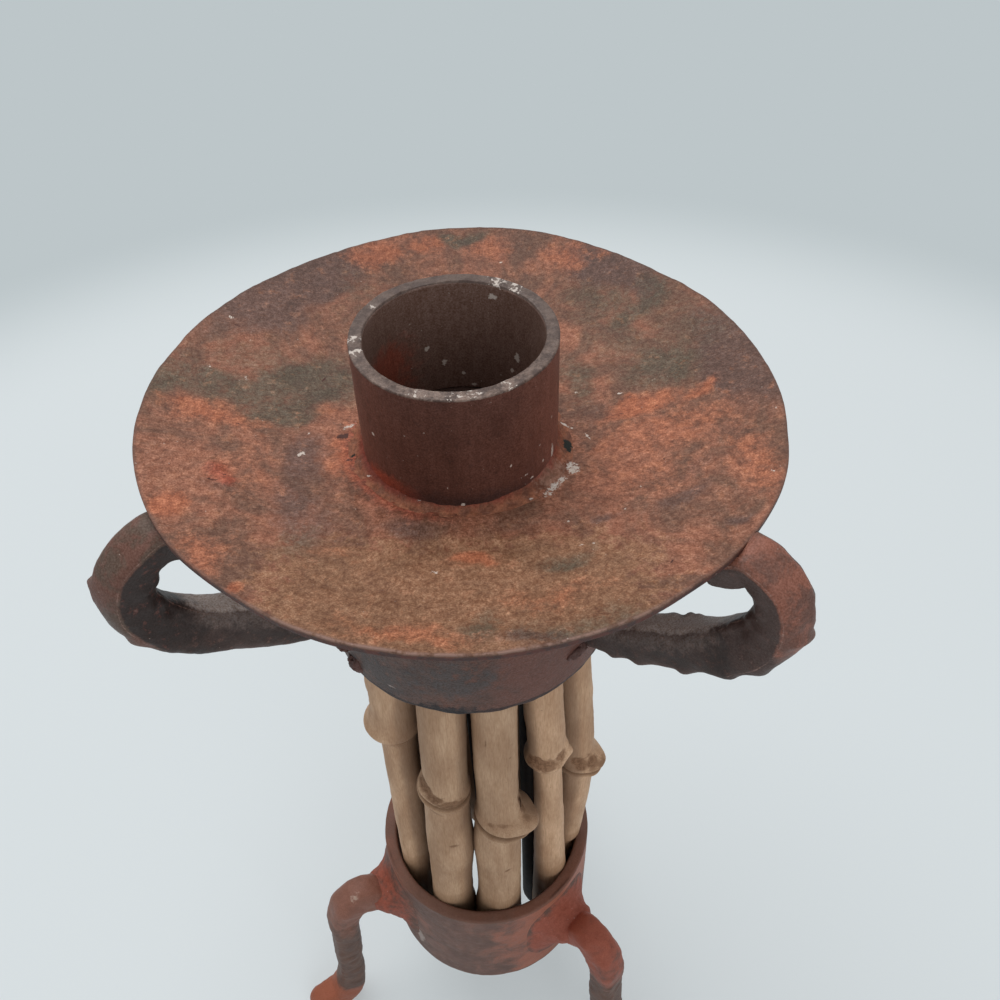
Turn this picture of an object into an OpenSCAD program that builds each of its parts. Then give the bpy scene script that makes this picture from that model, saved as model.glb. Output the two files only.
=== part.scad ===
// Candle holder: a drip pan with a candle cup, standing on a bundle of canes between two short pipes.
// The origin is the candle's seat: the pan's upper face, on the axis of the cup. Millimetres, +Z up.

/* [Drip pan] */
// Diameter of the pan
pan_d = 90; // [84:1:100]
// Thickness of the pan's sheet
pan_t = 1.2; // [0.8:0.1:1.6]
// Height of the rim above the flat middle
pan_rise = 5.1; // [3:0.1:6]
// Diameter of the flat middle
pan_flat_d = 36.4; // [36:0.2:42]
// How far the pan's centre lies behind the cup's axis
pan_back = 4.3; // [2:0.1:4.4]
// How far the pan's centre lies to the right of the cup's axis
pan_right = 0.45; // [0:0.05:1]

/* [Candle cup] */
// Bore of the cup
cup_bore_d = 23.8; // [20:0.1:24]
// Wall of the cup
cup_wall = 1.8; // [1.2:0.1:1.8]
// Height of the cup
cup_h = 18.7; // [12:0.1:25]
// Width of the weld round the cup's foot
cup_weld_w = 3; // [1.5:0.1:3.5]
// Height of the weld round the cup's foot
cup_weld_h = 2.2; // [1:0.1:3]

/* [Pipes] */
// Wall of the collar and of the lower ring
pipe_wall = 2.65; // [2:0.05:3]
// Height of the collar
collar_h = 33.7; // [30:0.1:38]
// Height of the lower ring
ring_h = 32.3; // [28:0.1:38]
// Length of cane that shows between the two pipes
cane_show = 82.6; // [70:0.1:100]
// Height of the lower ring above the floor
ring_clear = 32.2; // [26:0.1:40]
// Width of the weld between the collar and the pan
collar_weld_w = 2.8; // [2:0.1:3.5]
// Height of the weld between the collar and the pan
collar_weld_h = 3; // [2:0.1:4]

/* [Canes] */
// Nominal diameter of a cane
cane_d = 8.4; // [7:0.1:9]
// Mean gap between neighbouring canes
cane_gap = 1.5; // [1.5:0.1:2.5]
// Clearance between a cane and the pipe's bore
cane_clear = 0.1; // [0.05:0.05:0.3]

/* [Arms] */
// Direction of the first arm, in degrees from +X
arm_turn = -154.75; // [-160:0.25:-150]
// Width of an arm's bar
arm_w = 5.6; // [5:0.1:7]
// Thickness of an arm's bar at its root
arm_t = 5; // [4.4:0.1:5.6]
// How far an arm's centreline reaches past the pan's radius
arm_reach = 3.9; // [3:0.1:6]
// Length of the lip that turns back under the pan
arm_lip = 10.4; // [9:0.1:12]
// Height of an arm's root above the collar's lower edge
arm_root_up = 9.1; // [7:0.1:12]

/* [Legs] */
// Directions of the three legs, in degrees from +X
leg_turns = [-158, -45, 80];
// Width of a leg's bar
leg_w = 7; // [6:0.1:8]
// Thickness of a leg's bar at its shank
leg_t = 6.4; // [5:0.1:7]
// How far the shank stands out from the lower ring
leg_reach = 16; // [13:0.1:20]
// Length of the toe in front of the shank
toe_l = 12.4; // [9:0.1:15]
// Depth of a leg's root below the ring's upper edge
leg_root_down = 16; // [12:0.1:18]

/* [Tie rods] */
// Diameter of a tie rod
rod_d = 4; // [3:0.1:4.4]
// Direction of the first tie rod, in degrees from +X
rod_turn = -16; // [-18:1:-14]
// Bend radius of a rod's foot, at its centreline
rod_bend_r = 3.5; // [3:0.1:4.5]
// Height of a rod's foot above the ring's lower edge
rod_foot_up = 2.6; // [2.4:0.1:5]

/* [Welds] */
// Diameter of a weld bead on an arm
arm_bead_d = 3.4; // [2.4:0.1:4]
// Diameter of a weld bead on a leg
leg_bead_d = 4.4; // [3:0.1:5]
// Width and height of the weld at a rod's end
rod_weld = 0.9; // [0.5:0.1:1]

/* [Hidden] */

// Clearance between an arm's lip and the pan's underside, and between a bar's root and its pipe
weld_gap = 0.2;
// How far a bar's centreline starts inside its pipe's outer face, before the root is cut to the face
root_sink = 2.5;
// How far a cutting shape runs past what it cuts
cut_over = 1;
// Radius of the corners of a bar's section
bar_round = 1.7;
// Facets of the round pieces and welds, of a cane, of a rod and of a weld bead
round_fn = 96;
cane_fn = 12;
rod_fn = 16;
bead_fn = 24;
// Steps of a rod's bend, of each stretch of a bar's curve and of the dish
rod_bend_steps = 6;
spline_steps = 3;
dish_steps = 9;
// The dish rises with this power of the distance from the flat middle
dish_power = 1.5;

pan_r = pan_d / 2;
pan_flat_r = pan_flat_d / 2;
cup_bore_r = cup_bore_d / 2;
cup_r = cup_bore_r + cup_wall;

// Each cane, in this order: lean of its top and of its foot along the circle, in degrees; thickness at
// the top, below the node and at the foot, as shares of cane_d; depth of the node below the collar, as a
// share of the length that shows; swelling at the node, as a share of cane_d, and the side it goes to
// (-1 left, 0 all round, 1 right); then how far the axis is bent aside and outward at the node, as
// shares of cane_d
cane_list = [
    [6, -2, 1.03, 0.80, 0.78, 0.30, 0.08, -1, 0, 0.10],
    [12, 0, 0.99, 1.02, 1.06, 0.40, 0.05, -1, -0.03, 0.03],
    [6, 3, 0.94, 1.00, 1.05, 0.58, 0.20, 1, 0, 0],
    [1, 15, 0.96, 0.56, 0.92, 0.40, 0.06, 0, 0.08, 0.05],
    [-1, 6, 0.89, 0.86, 0.88, 0.52, 0.10, 0, 0, 0.22],
    [4, -3, 0.98, 0.96, 1.00, 0.63, 0.06, 0, 0, 0],
    [-2, 2, 0.95, 1.00, 1.02, 0.24, 0.08, 0, 0.03, 0.05],
    [1, -2, 1.00, 0.97, 1.00, 0.72, 0.06, 0, 0, 0],
    [-3, 3, 0.93, 0.98, 1.03, 0.46, 0.08, 0, -0.03, 0.04],
    [4, 0, 0.97, 0.95, 0.98, 0.36, 0.06, 0, 0, 0.08]];
cane_count = len(cane_list);
cane_step = 360 / cane_count;
first_cane_turn = -156;
// Thickest end of any cane, as a share of cane_d
cane_swell_max = 1.06;
cane_circle_r = (cane_d + cane_gap) / (2 * sin(cane_step / 2));
pipe_bore_r = cane_circle_r + cane_swell_max * cane_d / 2 + cane_clear;
pipe_r = pipe_bore_r + pipe_wall;

collar_top = -pan_t;
collar_bottom = collar_top - collar_h;
ring_top = collar_bottom - cane_show;
ring_bottom = ring_top - ring_h;
floor_z = ring_bottom - ring_clear;

rod_circle_r = cane_circle_r - cane_swell_max * cane_d / 2 - rod_d / 2 - cane_clear;
rod_foot_z = ring_bottom + rod_foot_up;
// Clearance between a rod's end and the ring's bore, and between a rod's weld and a cane
rod_end_gap = 0.12;
weld_room = 0.2;
cane_top_z = collar_top - rod_weld - weld_room;
cane_foot_z = rod_foot_z + rod_d / 2 + rod_weld + weld_room;

// Arms and rods come in threes, spaced evenly round the axis
three = [0 : 2];
third = 360 / 3;

arm_root_z = collar_bottom + arm_root_up;
arm_out_s = pan_r + arm_reach;
// An arm from its root to where it turns in under the pan: distance out as a share of the way to its
// farthest reach, height as a share of the rise to its lip, and thickness in shares of arm_t
arm_shape = [
    [0, -0.02, 1.06], [0.29, 0.09, 1.2], [0.54, 0.2, 1.36], [0.76, 0.345, 1.58],
    [0.92, 0.52, 1.52], [1, 0.71, 1.4], [0.97, 0.88, 1.26], [0.87, 0.99, 1.14]];
// How far in from the arm's farthest reach its lip begins to lie along the pan
lip_start = 7.4;
arm_tip_s = arm_out_s - arm_lip;

leg_root_z = ring_top - leg_root_down;
shank_s = pipe_r + leg_reach;
// A leg from its root to its ankle: distance out as a share of the way from root to shank, depth as a
// share of the drop from root to floor, and thickness in shares of leg_t
leg_shape = [
    [0, 0.02, 1.35], [0.36, -0.055, 1.05], [0.58, -0.105, 1.28], [0.77, -0.06, 1.2], [0.88, 0.07, 1.06],
    [0.91, 0.28, 0.98], [0.96, 0.5, 0.98], [1, 0.71, 1.02], [1.13, 0.875, 1.25]];
// A toe: distance out as a share of toe_l, height of its middle above the floor, and thickness in
// shares of leg_t. The sole is cut flat at the floor
toe_shape = [[0.58, 3, 1.38], [1, 1.2, 1.2]];

// Height of the pan's upper face at a distance from the pan's own centre
function dish(r) =
    r <= pan_flat_r ? 0 : pan_rise * pow((r - pan_flat_r) / (pan_r - pan_flat_r), dish_power);

// Distances from the pan's own centre at which the dish is worked out
dish_rs = [for (i = [0 : dish_steps]) pan_flat_r + (pan_r - pan_flat_r) * i / dish_steps];

// Height of the pan's underside at a distance from the cup's axis in a direction
function pan_under(s, turn) =
    dish(norm([s * cos(turn) - pan_right, s * sin(turn) - pan_back])) - pan_t;

// One point of a smooth curve through the points, and the whole curve
function spline_point(p, i, u) =
    let (a = p[max(i - 1, 0)], b = p[i], c = p[i + 1], d = p[min(i + 2, len(p) - 1)])
    ((2 * b) + (c - a) * u + (2 * a - 5 * b + 4 * c - d) * u * u + (3 * b - a - 3 * c + d) * u * u * u) / 2;
function spline(p) =
    [for (i = [0 : len(p) - 2]) for (k = [0 : spline_steps - 1]) spline_point(p, i, k / spline_steps),
     p[len(p) - 1]];

// Outline of a square bar with rounded corners, anticlockwise
function bar_outline(w, t) =
    [for (k = [0 : 3]) for (a = [0, 45, 90])
        let (x = (k == 0 || k == 3) ? w / 2 - bar_round : bar_round - w / 2,
             y = (k < 2) ? t / 2 - bar_round : bar_round - t / 2)
        [x + bar_round * cos(90 * k + a), y + bar_round * sin(90 * k + a)]];

// Outline of a round bar, anticlockwise
function round_outline(d) = [for (k = [0 : rod_fn - 1]) [cos(360 / rod_fn * k), sin(360 / rod_fn * k)] * d / 2];

// An outline set square to its path at point i. The path holds distance out and height
function ring_at(path, i, outline) =
    let (a = path[max(i - 1, 0)], b = path[min(i + 1, len(path) - 1)],
         along = [b[0] - a[0], b[1] - a[1]] / norm([b[0] - a[0], b[1] - a[1]]))
    [for (q = outline) [path[i][0] - along[1] * q[1], q[0], path[i][1] + along[0] * q[1]]];

// Closed skin over a row of rings, each with as many points
module skin(rings) {
    n = len(rings[0]);
    m = len(rings);
    polyhedron(
        points = [for (ring = rings) each ring],
        faces = concat(
            [[for (j = [0 : n - 1]) j]],
            [for (i = [0 : m - 2]) for (j = [0 : n - 1])
                [i * n + j, (i + 1) * n + j, (i + 1) * n + (j + 1) % n]],
            [for (i = [0 : m - 2]) for (j = [0 : n - 1])
                [i * n + j, (i + 1) * n + (j + 1) % n, i * n + (j + 1) % n]],
            [[for (j = [n - 1 : -1 : 0]) (m - 1) * n + j]]));
}

// Square bar of width w along a path that also holds its thickness
module bar(path, w) {
    smooth = spline(path);
    skin([for (i = [0 : len(smooth) - 1]) ring_at(smooth, i, bar_outline(w, smooth[i][2]))]);
}

module tube(r, bore_r, h) {
    difference() {
        cylinder(r = r, h = h, $fn = round_fn);
        translate([0, 0, -cut_over])
            cylinder(r = bore_r, h = h + 2 * cut_over, $fn = round_fn);
    }
}

// Ring with a straight sloping face, for a weld round a post: wide at the bottom, narrow at the top
module weld_ring(r, w, h) {
    rotate_extrude($fn = round_fn)
        polygon([[r, 0], [r + w, 0], [r + w, h * 0.1], [r + w * 0.35, h * 0.5], [r + w * 0.1, h], [r, h]]);
}

// A profile turned round the pan's own centre
module round_pan(profile) {
    translate([pan_right, pan_back, 0])
        rotate_extrude($fn = round_fn)
            polygon(profile);
}

// The dish's lower and upper faces as points of a profile, from the middle out and from the rim in
function lower_face() = concat([[0, -pan_t]], [for (r = dish_rs) [r, dish(r) - pan_t]]);
function upper_face() = concat([for (i = [dish_steps : -1 : 0]) [dish_rs[i], dish(dish_rs[i])]], [[0, 0]]);

module drip_pan() {
    color([0.50, 0.33, 0.24])
        round_pan(concat(lower_face(), upper_face()));
}

module candle_cup() {
    color([0.42, 0.29, 0.24])
        tube(cup_r, cup_bore_r, cup_h);
}

module cup_weld() {
    color([0.38, 0.27, 0.21])
        difference() {
            weld_ring(cup_r, cup_weld_w, cup_weld_h);
            below_pan();
        }
}

module collar() {
    color([0.32, 0.24, 0.24])
        translate([0, 0, collar_bottom])
            tube(pipe_r, pipe_bore_r, collar_h);
}

// All of the space that the pan's sheet fills, and the space above it
module above_pan() {
    top = pan_rise + cut_over;
    round_pan(concat(lower_face(), [[pan_r, top], [0, top]]));
}

// All of the space that the pan's sheet fills, and the space under it
module below_pan() {
    bottom = -pan_t - cut_over;
    round_pan(concat([[0, bottom], [pan_r, bottom]], upper_face()));
}

module collar_weld() {
    color([0.34, 0.25, 0.23])
        difference() {
            translate([0, 0, collar_top])
                rotate_extrude($fn = round_fn)
                    polygon([
                        [pipe_r, -collar_weld_h],
                        [pipe_r + collar_weld_w * 0.4, -collar_weld_h * 0.6],
                        [pipe_r + collar_weld_w, 0],
                        [pipe_r + collar_weld_w, pan_rise],
                        [pipe_r, pan_rise]]);
            above_pan();
        }
}

// Centreline and thickness of an arm, in the upright plane through the axis
function arm_path(turn) =
    let (root_s = pipe_r - root_sink,
         fold_s = arm_out_s - lip_start,
         under = weld_gap + arm_t / 2,
         lip_z = pan_under(fold_s, turn) - under)
    concat(
        [for (q = arm_shape)
            [root_s + (arm_out_s - root_s) * q[0], arm_root_z + (lip_z - arm_root_z) * q[1], arm_t * q[2]]],
        [[fold_s, lip_z, arm_t], [arm_tip_s, pan_under(arm_tip_s, turn) - under, arm_t]]);

module arm(turn) {
    color([0.36, 0.24, 0.19])
        rotate([0, 0, turn])
            difference() {
                bar(arm_path(turn), arm_w);
                translate([0, 0, collar_bottom])
                    cylinder(r = pipe_r + weld_gap, h = collar_h, $fn = round_fn);
            }
}

// Weld bead laid across a bar of width w, between its rounded edges, at a distance out and a height
module bead(s, z, d, w) {
    translate([s, 0, z])
        rotate([90, 0, 0])
            cylinder(d = d, h = w - 2 * bar_round, center = true, $fn = bead_fn);
}

// The two beads of a bar's root, over and under it. Their middles lie a little way out from the pipe
module root_beads(z_over, z_under, d, w) {
    s = pipe_r + d * 0.2;
    bead(s, z_over, d, w);
    bead(s, z_under, d, w);
}

module arm_root_welds() {
    color([0.33, 0.23, 0.20])
        for (k = three) {
            turn = arm_turn + third * k;
            difference() {
                rotate([0, 0, turn])
                    root_beads(arm_root_z + arm_t / 2 + arm_bead_d * 0.2,
                               arm_root_z - arm_t / 2 - arm_bead_d * 0.1, arm_bead_d, arm_w);
                arm(turn);
                translate([0, 0, collar_bottom])
                    cylinder(r = pipe_r, h = collar_h, $fn = round_fn);
            }
        }
}

module arm_tip_welds() {
    color([0.33, 0.23, 0.20])
        for (k = three) {
            turn = arm_turn + third * k;
            difference() {
                rotate([0, 0, turn])
                    bead(arm_tip_s, pan_under(arm_tip_s, turn) - arm_bead_d * 0.35, arm_bead_d, arm_w);
                arm(turn);
                above_pan();
            }
        }
}

// One cane. Its rings go up from its foot, closer together round its node
module cane(index) {
    q = cane_list[index];
    turn = first_cane_turn + cane_step * index;
    top_d = cane_d * q[2];
    below_d = cane_d * q[3];
    foot_d = cane_d * q[4];
    node_z = collar_bottom - cane_show * q[5];
    top_s = pipe_bore_r - cane_clear - top_d / 2;
    foot_s = pipe_bore_r - cane_clear - foot_d / 2;
    top_at = [top_s * cos(turn + q[0]), top_s * sin(turn + q[0])];
    foot_at = [foot_s * cos(turn + q[1]), foot_s * sin(turn + q[1])];
    outward = [cos(turn), sin(turn)];
    aside = [-sin(turn), cos(turn)];
    swell_l = cane_d * 0.3;
    heights = concat(
        [cane_foot_z, (cane_foot_z + ring_top) / 2, ring_top, (ring_top + node_z) / 2],
        [for (k = [-2, -1, -0.35, 0.35, 1, 2]) node_z + swell_l * k],
        [(node_z + collar_bottom) / 2, collar_bottom, cane_top_z]);
    color([0.72, 0.62, 0.47])
        skin([for (z = heights)
            let (up = (z - cane_foot_z) / (cane_top_z - cane_foot_z),
                 from_node = (z - node_z) / swell_l,
                 bulge = cane_d * q[6] * exp(-from_node * from_node),
                 bent = cane_d * max(0, z > node_z ? (collar_bottom - z) / (collar_bottom - node_z)
                                                   : (z - ring_top) / (node_z - ring_top)),
                 held = z >= collar_bottom || z <= ring_top,
                 blend = max(0, min(1, 0.5 + from_node / 2)),
                 low_d = below_d + (foot_d - below_d) * max(0, (node_z - z) / (node_z - cane_foot_z)),
                 r = (low_d + (top_d - low_d) * blend) / 2 + bulge,
                 free = foot_at + (top_at - foot_at) * up
                     + aside * (bent * q[8] + bulge * q[7]) + outward * bent * q[9],
                 at = held ? free * min(1, (pipe_bore_r - cane_clear - r) / norm(free)) : free)
            [for (a = [0 : cane_fn - 1])
                [at[0] + r * cos(360 / cane_fn * a), at[1] + r * sin(360 / cane_fn * a), z]]]);
}

// One tie rod: a straight post whose foot bends out to the lower ring's wall
module tie_rod(index) {
    bend_s = rod_circle_r + rod_bend_r;
    bend_z = rod_foot_z + rod_bend_r;
    path = concat(
        [[rod_circle_r, collar_top]],
        [for (k = [0 : rod_bend_steps])
            [bend_s, bend_z] - rod_bend_r * [cos(90 * k / rod_bend_steps), sin(90 * k / rod_bend_steps)]],
        [[pipe_bore_r - rod_end_gap, rod_foot_z]]);
    color([0.16, 0.13, 0.13])
        rotate([0, 0, rod_turn + third * index])
            skin([for (i = [0 : len(path) - 1]) ring_at(path, i, round_outline(rod_d))]);
}

module rod_welds() {
    color([0.22, 0.17, 0.16])
        for (k = three)
            rotate([0, 0, rod_turn + third * k]) {
                translate([rod_circle_r, 0, collar_top])
                    rotate([180, 0, 0])
                        weld_ring(rod_d / 2, rod_weld, rod_weld);
                translate([pipe_bore_r - rod_end_gap - rod_weld * 0.3, 0, rod_foot_z])
                    rotate([0, -90, 0])
                        weld_ring(rod_d / 2, rod_weld, rod_weld);
            }
}

module lower_ring() {
    color([0.42, 0.30, 0.24])
        translate([0, 0, ring_bottom])
            tube(pipe_r, pipe_bore_r, ring_h);
}

// Centreline and thickness of a leg, in the upright plane through the axis
function leg_path() =
    let (root_s = pipe_r - root_sink,
         drop = leg_root_z - floor_z)
    concat(
        [for (q = leg_shape)
            [root_s + (shank_s - root_s) * q[0], leg_root_z - drop * q[1], leg_t * q[2]]],
        [for (q = toe_shape) [shank_s + toe_l * q[0], floor_z + q[1], leg_t * q[2]]]);

module leg(turn) {
    color([0.38, 0.26, 0.20])
        rotate([0, 0, turn])
            difference() {
                bar(leg_path(), leg_w);
                translate([0, 0, ring_bottom])
                    cylinder(r = pipe_r + weld_gap, h = ring_h, $fn = round_fn);
                translate([0, -leg_w, floor_z - 2 * leg_t])
                    cube([shank_s + 2 * toe_l, 2 * leg_w, 2 * leg_t]);
            }
}

module leg_welds() {
    color([0.36, 0.25, 0.20])
        for (turn = leg_turns)
            difference() {
                rotate([0, 0, turn])
                    root_beads(leg_root_z + leg_t * 0.65, leg_root_z - leg_t * 0.7, leg_bead_d, leg_w);
                leg(turn);
                translate([0, 0, ring_bottom])
                    cylinder(r = pipe_r, h = ring_h, $fn = round_fn);
            }
}

drip_pan();
candle_cup();
cup_weld();
collar();
collar_weld();
arm(arm_turn);  // arm_left
arm(arm_turn + third);  // arm_right
arm(arm_turn + 2 * third);  // arm_back
arm_root_welds();
arm_tip_welds();
cane(0);  // cane_1
cane(1);  // cane_2
cane(2);  // cane_3
cane(3);  // cane_4
cane(4);  // cane_5
cane(5);  // cane_6
cane(6);  // cane_7
cane(7);  // cane_8
cane(8);  // cane_9
cane(9);  // cane_10
tie_rod(0);  // tie_rod_1
tie_rod(1);  // tie_rod_2
tie_rod(2);  // tie_rod_3
rod_welds();
lower_ring();
leg(leg_turns[0]);  // leg_left
leg(leg_turns[1]);  // leg_right
leg(leg_turns[2]);  // leg_back
leg_welds();
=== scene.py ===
import math
import bpy
import numpy as np
from mathutils import Matrix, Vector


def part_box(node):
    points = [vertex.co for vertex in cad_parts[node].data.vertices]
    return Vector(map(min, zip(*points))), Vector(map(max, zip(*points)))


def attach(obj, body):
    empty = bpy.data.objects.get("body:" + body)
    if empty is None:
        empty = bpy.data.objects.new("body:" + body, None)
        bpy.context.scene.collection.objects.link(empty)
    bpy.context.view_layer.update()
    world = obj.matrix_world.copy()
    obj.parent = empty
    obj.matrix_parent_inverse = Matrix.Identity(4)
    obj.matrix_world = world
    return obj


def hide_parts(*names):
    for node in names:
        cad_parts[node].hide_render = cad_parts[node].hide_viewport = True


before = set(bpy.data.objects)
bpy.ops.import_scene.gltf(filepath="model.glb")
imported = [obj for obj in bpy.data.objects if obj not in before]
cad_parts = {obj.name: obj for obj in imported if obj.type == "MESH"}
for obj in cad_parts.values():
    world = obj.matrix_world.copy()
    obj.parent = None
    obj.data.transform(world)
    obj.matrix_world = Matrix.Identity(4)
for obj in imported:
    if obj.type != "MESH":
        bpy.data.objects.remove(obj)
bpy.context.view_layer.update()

# Candle holder: rusty drip pan and cup over a bundle of canes between two pipes, with arms and legs.
# All sizes are in millimetres until a mesh is made. The cup's axis is the Z axis, the front is -Y.

mm = 0.001


def nodeBox(name):
    # lowest and highest corner of a CAD node, in millimetres
    low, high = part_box(name)
    return np.array(low) / mm, np.array(high) / mm


panLow, panHigh = nodeBox("drip_pan")
collarLow, collarHigh = nodeBox("collar")
ringLow, ringHigh = nodeBox("lower_ring")
panMiddle = (panLow[:2] + panHigh[:2]) / 2
panRadius = (panHigh[0] - panLow[0]) / 2
sheetThickness = -panLow[2]
cupRadius = nodeBox("candle_cup")[1][0]
cupHeight = nodeBox("candle_cup")[1][2]
pipeRadius = collarHigh[0]
floorHeight = nodeBox("leg_left")[0][2]


# Number work shared by all the pieces

def cornerNumber(corner, seed):
    # a fixed number from -1 to 1 for each corner of a whole-number lattice: its three counts are
    # multiplied by large primes and their bits are mixed
    mixed = (corner[..., 0] * 73856093) ^ (corner[..., 1] * 19349663) ^ (corner[..., 2] * 83492791)
    mixed = (mixed ^ (seed * 26544357)) & 0x7FFFFFFF
    mixed = ((mixed ^ (mixed >> 13)) * 1274126177) & 0x7FFFFFFF
    return (mixed ^ (mixed >> 16)) / 0x3FFFFFFF - 1


def lumps(points, size, seed):
    # smooth field from -1 to 1: the numbers at the eight lattice corners round a point, weighted by
    # the eased distance to each corner
    scaled = np.asarray(points, float) / size
    base = np.floor(scaled).astype(np.int64)
    part = scaled - base
    part = part * part * (3 - 2 * part)
    total = np.zeros(scaled.shape[:-1])
    for corner in np.ndindex(2, 2, 2):
        weight = np.prod(np.where(corner, part, 1 - part), axis=-1)
        total += weight * cornerNumber(base + np.array(corner), seed)
    return total


def roughField(points, size, seed, layers=4):
    # lumps of several sizes added up, each layer half as large and half as strong as the one before
    return sum(lumps(points, size / 2 ** k, seed + k) / 2 ** k for k in range(layers))


def eased(value, low, high):
    # 0 below low, 1 above high, and a smooth S between them
    share = np.clip((value - low) / (high - low), 0, 1)
    return share * share * (3 - 2 * share)


def hump(distance, width):
    # bell curve: 1 at no distance, falling off over the width
    return np.exp(-(distance / width) ** 2)


def smoothPath(points, steps):
    # curve through the points: each stretch is a cubic of its own two ends and their two neighbours
    points = np.asarray(points, float)
    padded = np.vstack([points[:1], points, points[-1:]])
    place = np.linspace(0, len(points) - 1, (len(points) - 1) * steps + 1)
    first = np.minimum(place.astype(int), len(points) - 2)
    t = (place - first)[:, None]
    a, b, c, d = (padded[first + k] for k in range(4))
    return (2 * b + (c - a) * t + (2 * a - 5 * b + 4 * c - d) * t ** 2 + (3 * b - a - 3 * c + d) * t ** 3) / 2


def evenPath(path, spacing):
    # the same path with its points an equal way apart, and the way to each point
    way = np.concatenate([[0], np.cumsum(np.linalg.norm(np.diff(path[:, :2], axis=0), axis=1))])
    count = int(way[-1] / spacing) + 2
    even = np.linspace(0, way[-1], count)
    return np.stack([np.interp(even, way, path[:, k]) for k in range(path.shape[1])], axis=1), even


def turned(grid, degrees):
    # the grid turned round the Z axis
    c, s = math.cos(math.radians(degrees)), math.sin(math.radians(degrees))
    return np.stack([grid[..., 0] * c - grid[..., 1] * s, grid[..., 0] * s + grid[..., 1] * c, grid[..., 2]], -1)


def gridNormals(grid, closedRows):
    # direction square to the surface at each grid point: the cross product of its two neighbours' steps
    around = np.roll(grid, -1, 1) - np.roll(grid, 1, 1)
    if closedRows:
        along = np.roll(grid, -1, 0) - np.roll(grid, 1, 0)
    else:
        along = np.gradient(grid, axis=0)
    normal = np.cross(around, along)
    return normal / np.maximum(np.linalg.norm(normal, axis=-1, keepdims=True), 1e-9)


def gridVolume(grid):
    # signed volume inside a grid's quads, which tells which way they face
    a, b = grid[:-1], grid[1:]
    c, d = np.roll(a, -1, 1), np.roll(b, -1, 1)
    return np.sum(a * np.cross(c, d)) + np.sum(a * np.cross(d, b))


def addPiece(name, grids, material, replaced, fields=None, closedRows=False):
    # closed mesh from one or more grids of points. Columns run round and join up. Rows join up too, or
    # each end is closed by a fan to its middle. fields hold one number for each grid point
    vertices, quads, fans, numbers, start = [], [], [], {key: [] for key in (fields or {})}, 0
    for number, grid in enumerate(grids):
        rows, columns = grid.shape[:2]
        closed = np.concatenate([grid, grid[:1]]) if closedRows else grid
        index = np.arange(rows * columns).reshape(rows, columns) + start
        upper = np.roll(index, -1, 0) if closedRows else index[1:]
        lower = index if closedRows else index[:-1]
        faces = np.stack([lower, np.roll(lower, -1, 1), np.roll(upper, -1, 1), upper], -1).reshape(-1, 4)
        inside = gridVolume(closed) < 0
        quads.append(faces[:, ::-1] if inside else faces)
        vertices.append(grid.reshape(-1, 3))
        for key in numbers:
            numbers[key].append(np.broadcast_to(fields[key][number], (rows, columns)).ravel())
        start += rows * columns
        if not closedRows:
            for row, flip in ((0, True), (-1, False)):
                ring = index[row]
                fan = np.stack([ring, np.roll(ring, -1), np.full(columns, start)], -1)
                fans.append(fan[:, ::-1] if flip != inside else fan)
                vertices.append(grid[row].mean(axis=0)[None])
                for key in numbers:
                    numbers[key].append(np.broadcast_to(fields[key][number], (rows, columns))[row].mean()[None])
                start += 1
    faces = np.concatenate(quads).tolist() + [f for fan in fans for f in fan.tolist()]
    mesh = bpy.data.meshes.new(name)
    mesh.from_pydata((np.concatenate(vertices) * mm).tolist(), [], faces)
    mesh.polygons.foreach_set("use_smooth", np.ones(len(mesh.polygons), bool))
    for key, parts in numbers.items():
        mesh.attributes.new(key, "FLOAT", "POINT").data.foreach_set("value", np.concatenate(parts))
    mesh.materials.append(material)
    mesh.update()
    piece = bpy.data.objects.new(name, mesh)
    bpy.context.scene.collection.objects.link(piece)
    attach(piece, "root")
    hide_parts(*replaced)
    print("made", name, "with", len(mesh.vertices), "points")
    return piece


# Node work shared by all the materials

def paint(red, green, blue):
    # a colour as a screen shows it, 0 to 255, as the light that it stands for
    share = np.array([red, green, blue]) / 255
    linear = np.where(share <= 0.04045, share / 12.92, ((share + 0.055) / 1.055) ** 2.4)
    return (*linear.tolist(), 1.0)


def startMaterial(name, roughness, specular):
    material = bpy.data.materials.new(name)
    material.use_nodes = True
    tree = material.node_tree
    shader = tree.nodes["Principled BSDF"]
    shader.inputs["Roughness"].default_value = roughness
    shader.inputs["Specular IOR Level"].default_value = specular
    place = tree.nodes.new("ShaderNodeTexCoord").outputs["Object"]
    return material, tree, shader, place


def addNode(tree, kind, values, **settings):
    # one node: settings are its own properties, values are numbers for its inputs or what feeds them
    node = tree.nodes.new(kind)
    for key, value in settings.items():
        setattr(node, key, value)
    for key, value in values.items():
        if isinstance(value, bpy.types.NodeSocket):
            tree.links.new(value, node.inputs[key])
        else:
            node.inputs[key].default_value = value
    return node


def grain(tree, place, size, detail=5, rough=0.55, stretch=(1, 1, 1), turn=(0, 0, 0), warp=0.0):
    # noise whose patches are about size millimetres across, longer where stretch is above 1
    scale = [1 / (mm * k) for k in stretch]
    angles = [math.radians(a) for a in turn]
    straight = addNode(tree, "ShaderNodeMapping", {"Vector": place, "Rotation": angles}).outputs[0]
    mapped = addNode(tree, "ShaderNodeMapping", {"Vector": straight, "Scale": scale}).outputs[0]
    values = {"Vector": mapped, "Scale": 1 / size, "Detail": detail, "Roughness": rough, "Distortion": warp}
    return addNode(tree, "ShaderNodeTexNoise", values).outputs[0]


def between(tree, value, low, high):
    # 0 at low, 1 at high and a smooth S between them
    values = {0: value, 1: low, 2: high, 3: 0.0, 4: 1.0}
    return addNode(tree, "ShaderNodeMapRange", values, interpolation_type="SMOOTHSTEP").outputs[0]


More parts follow.
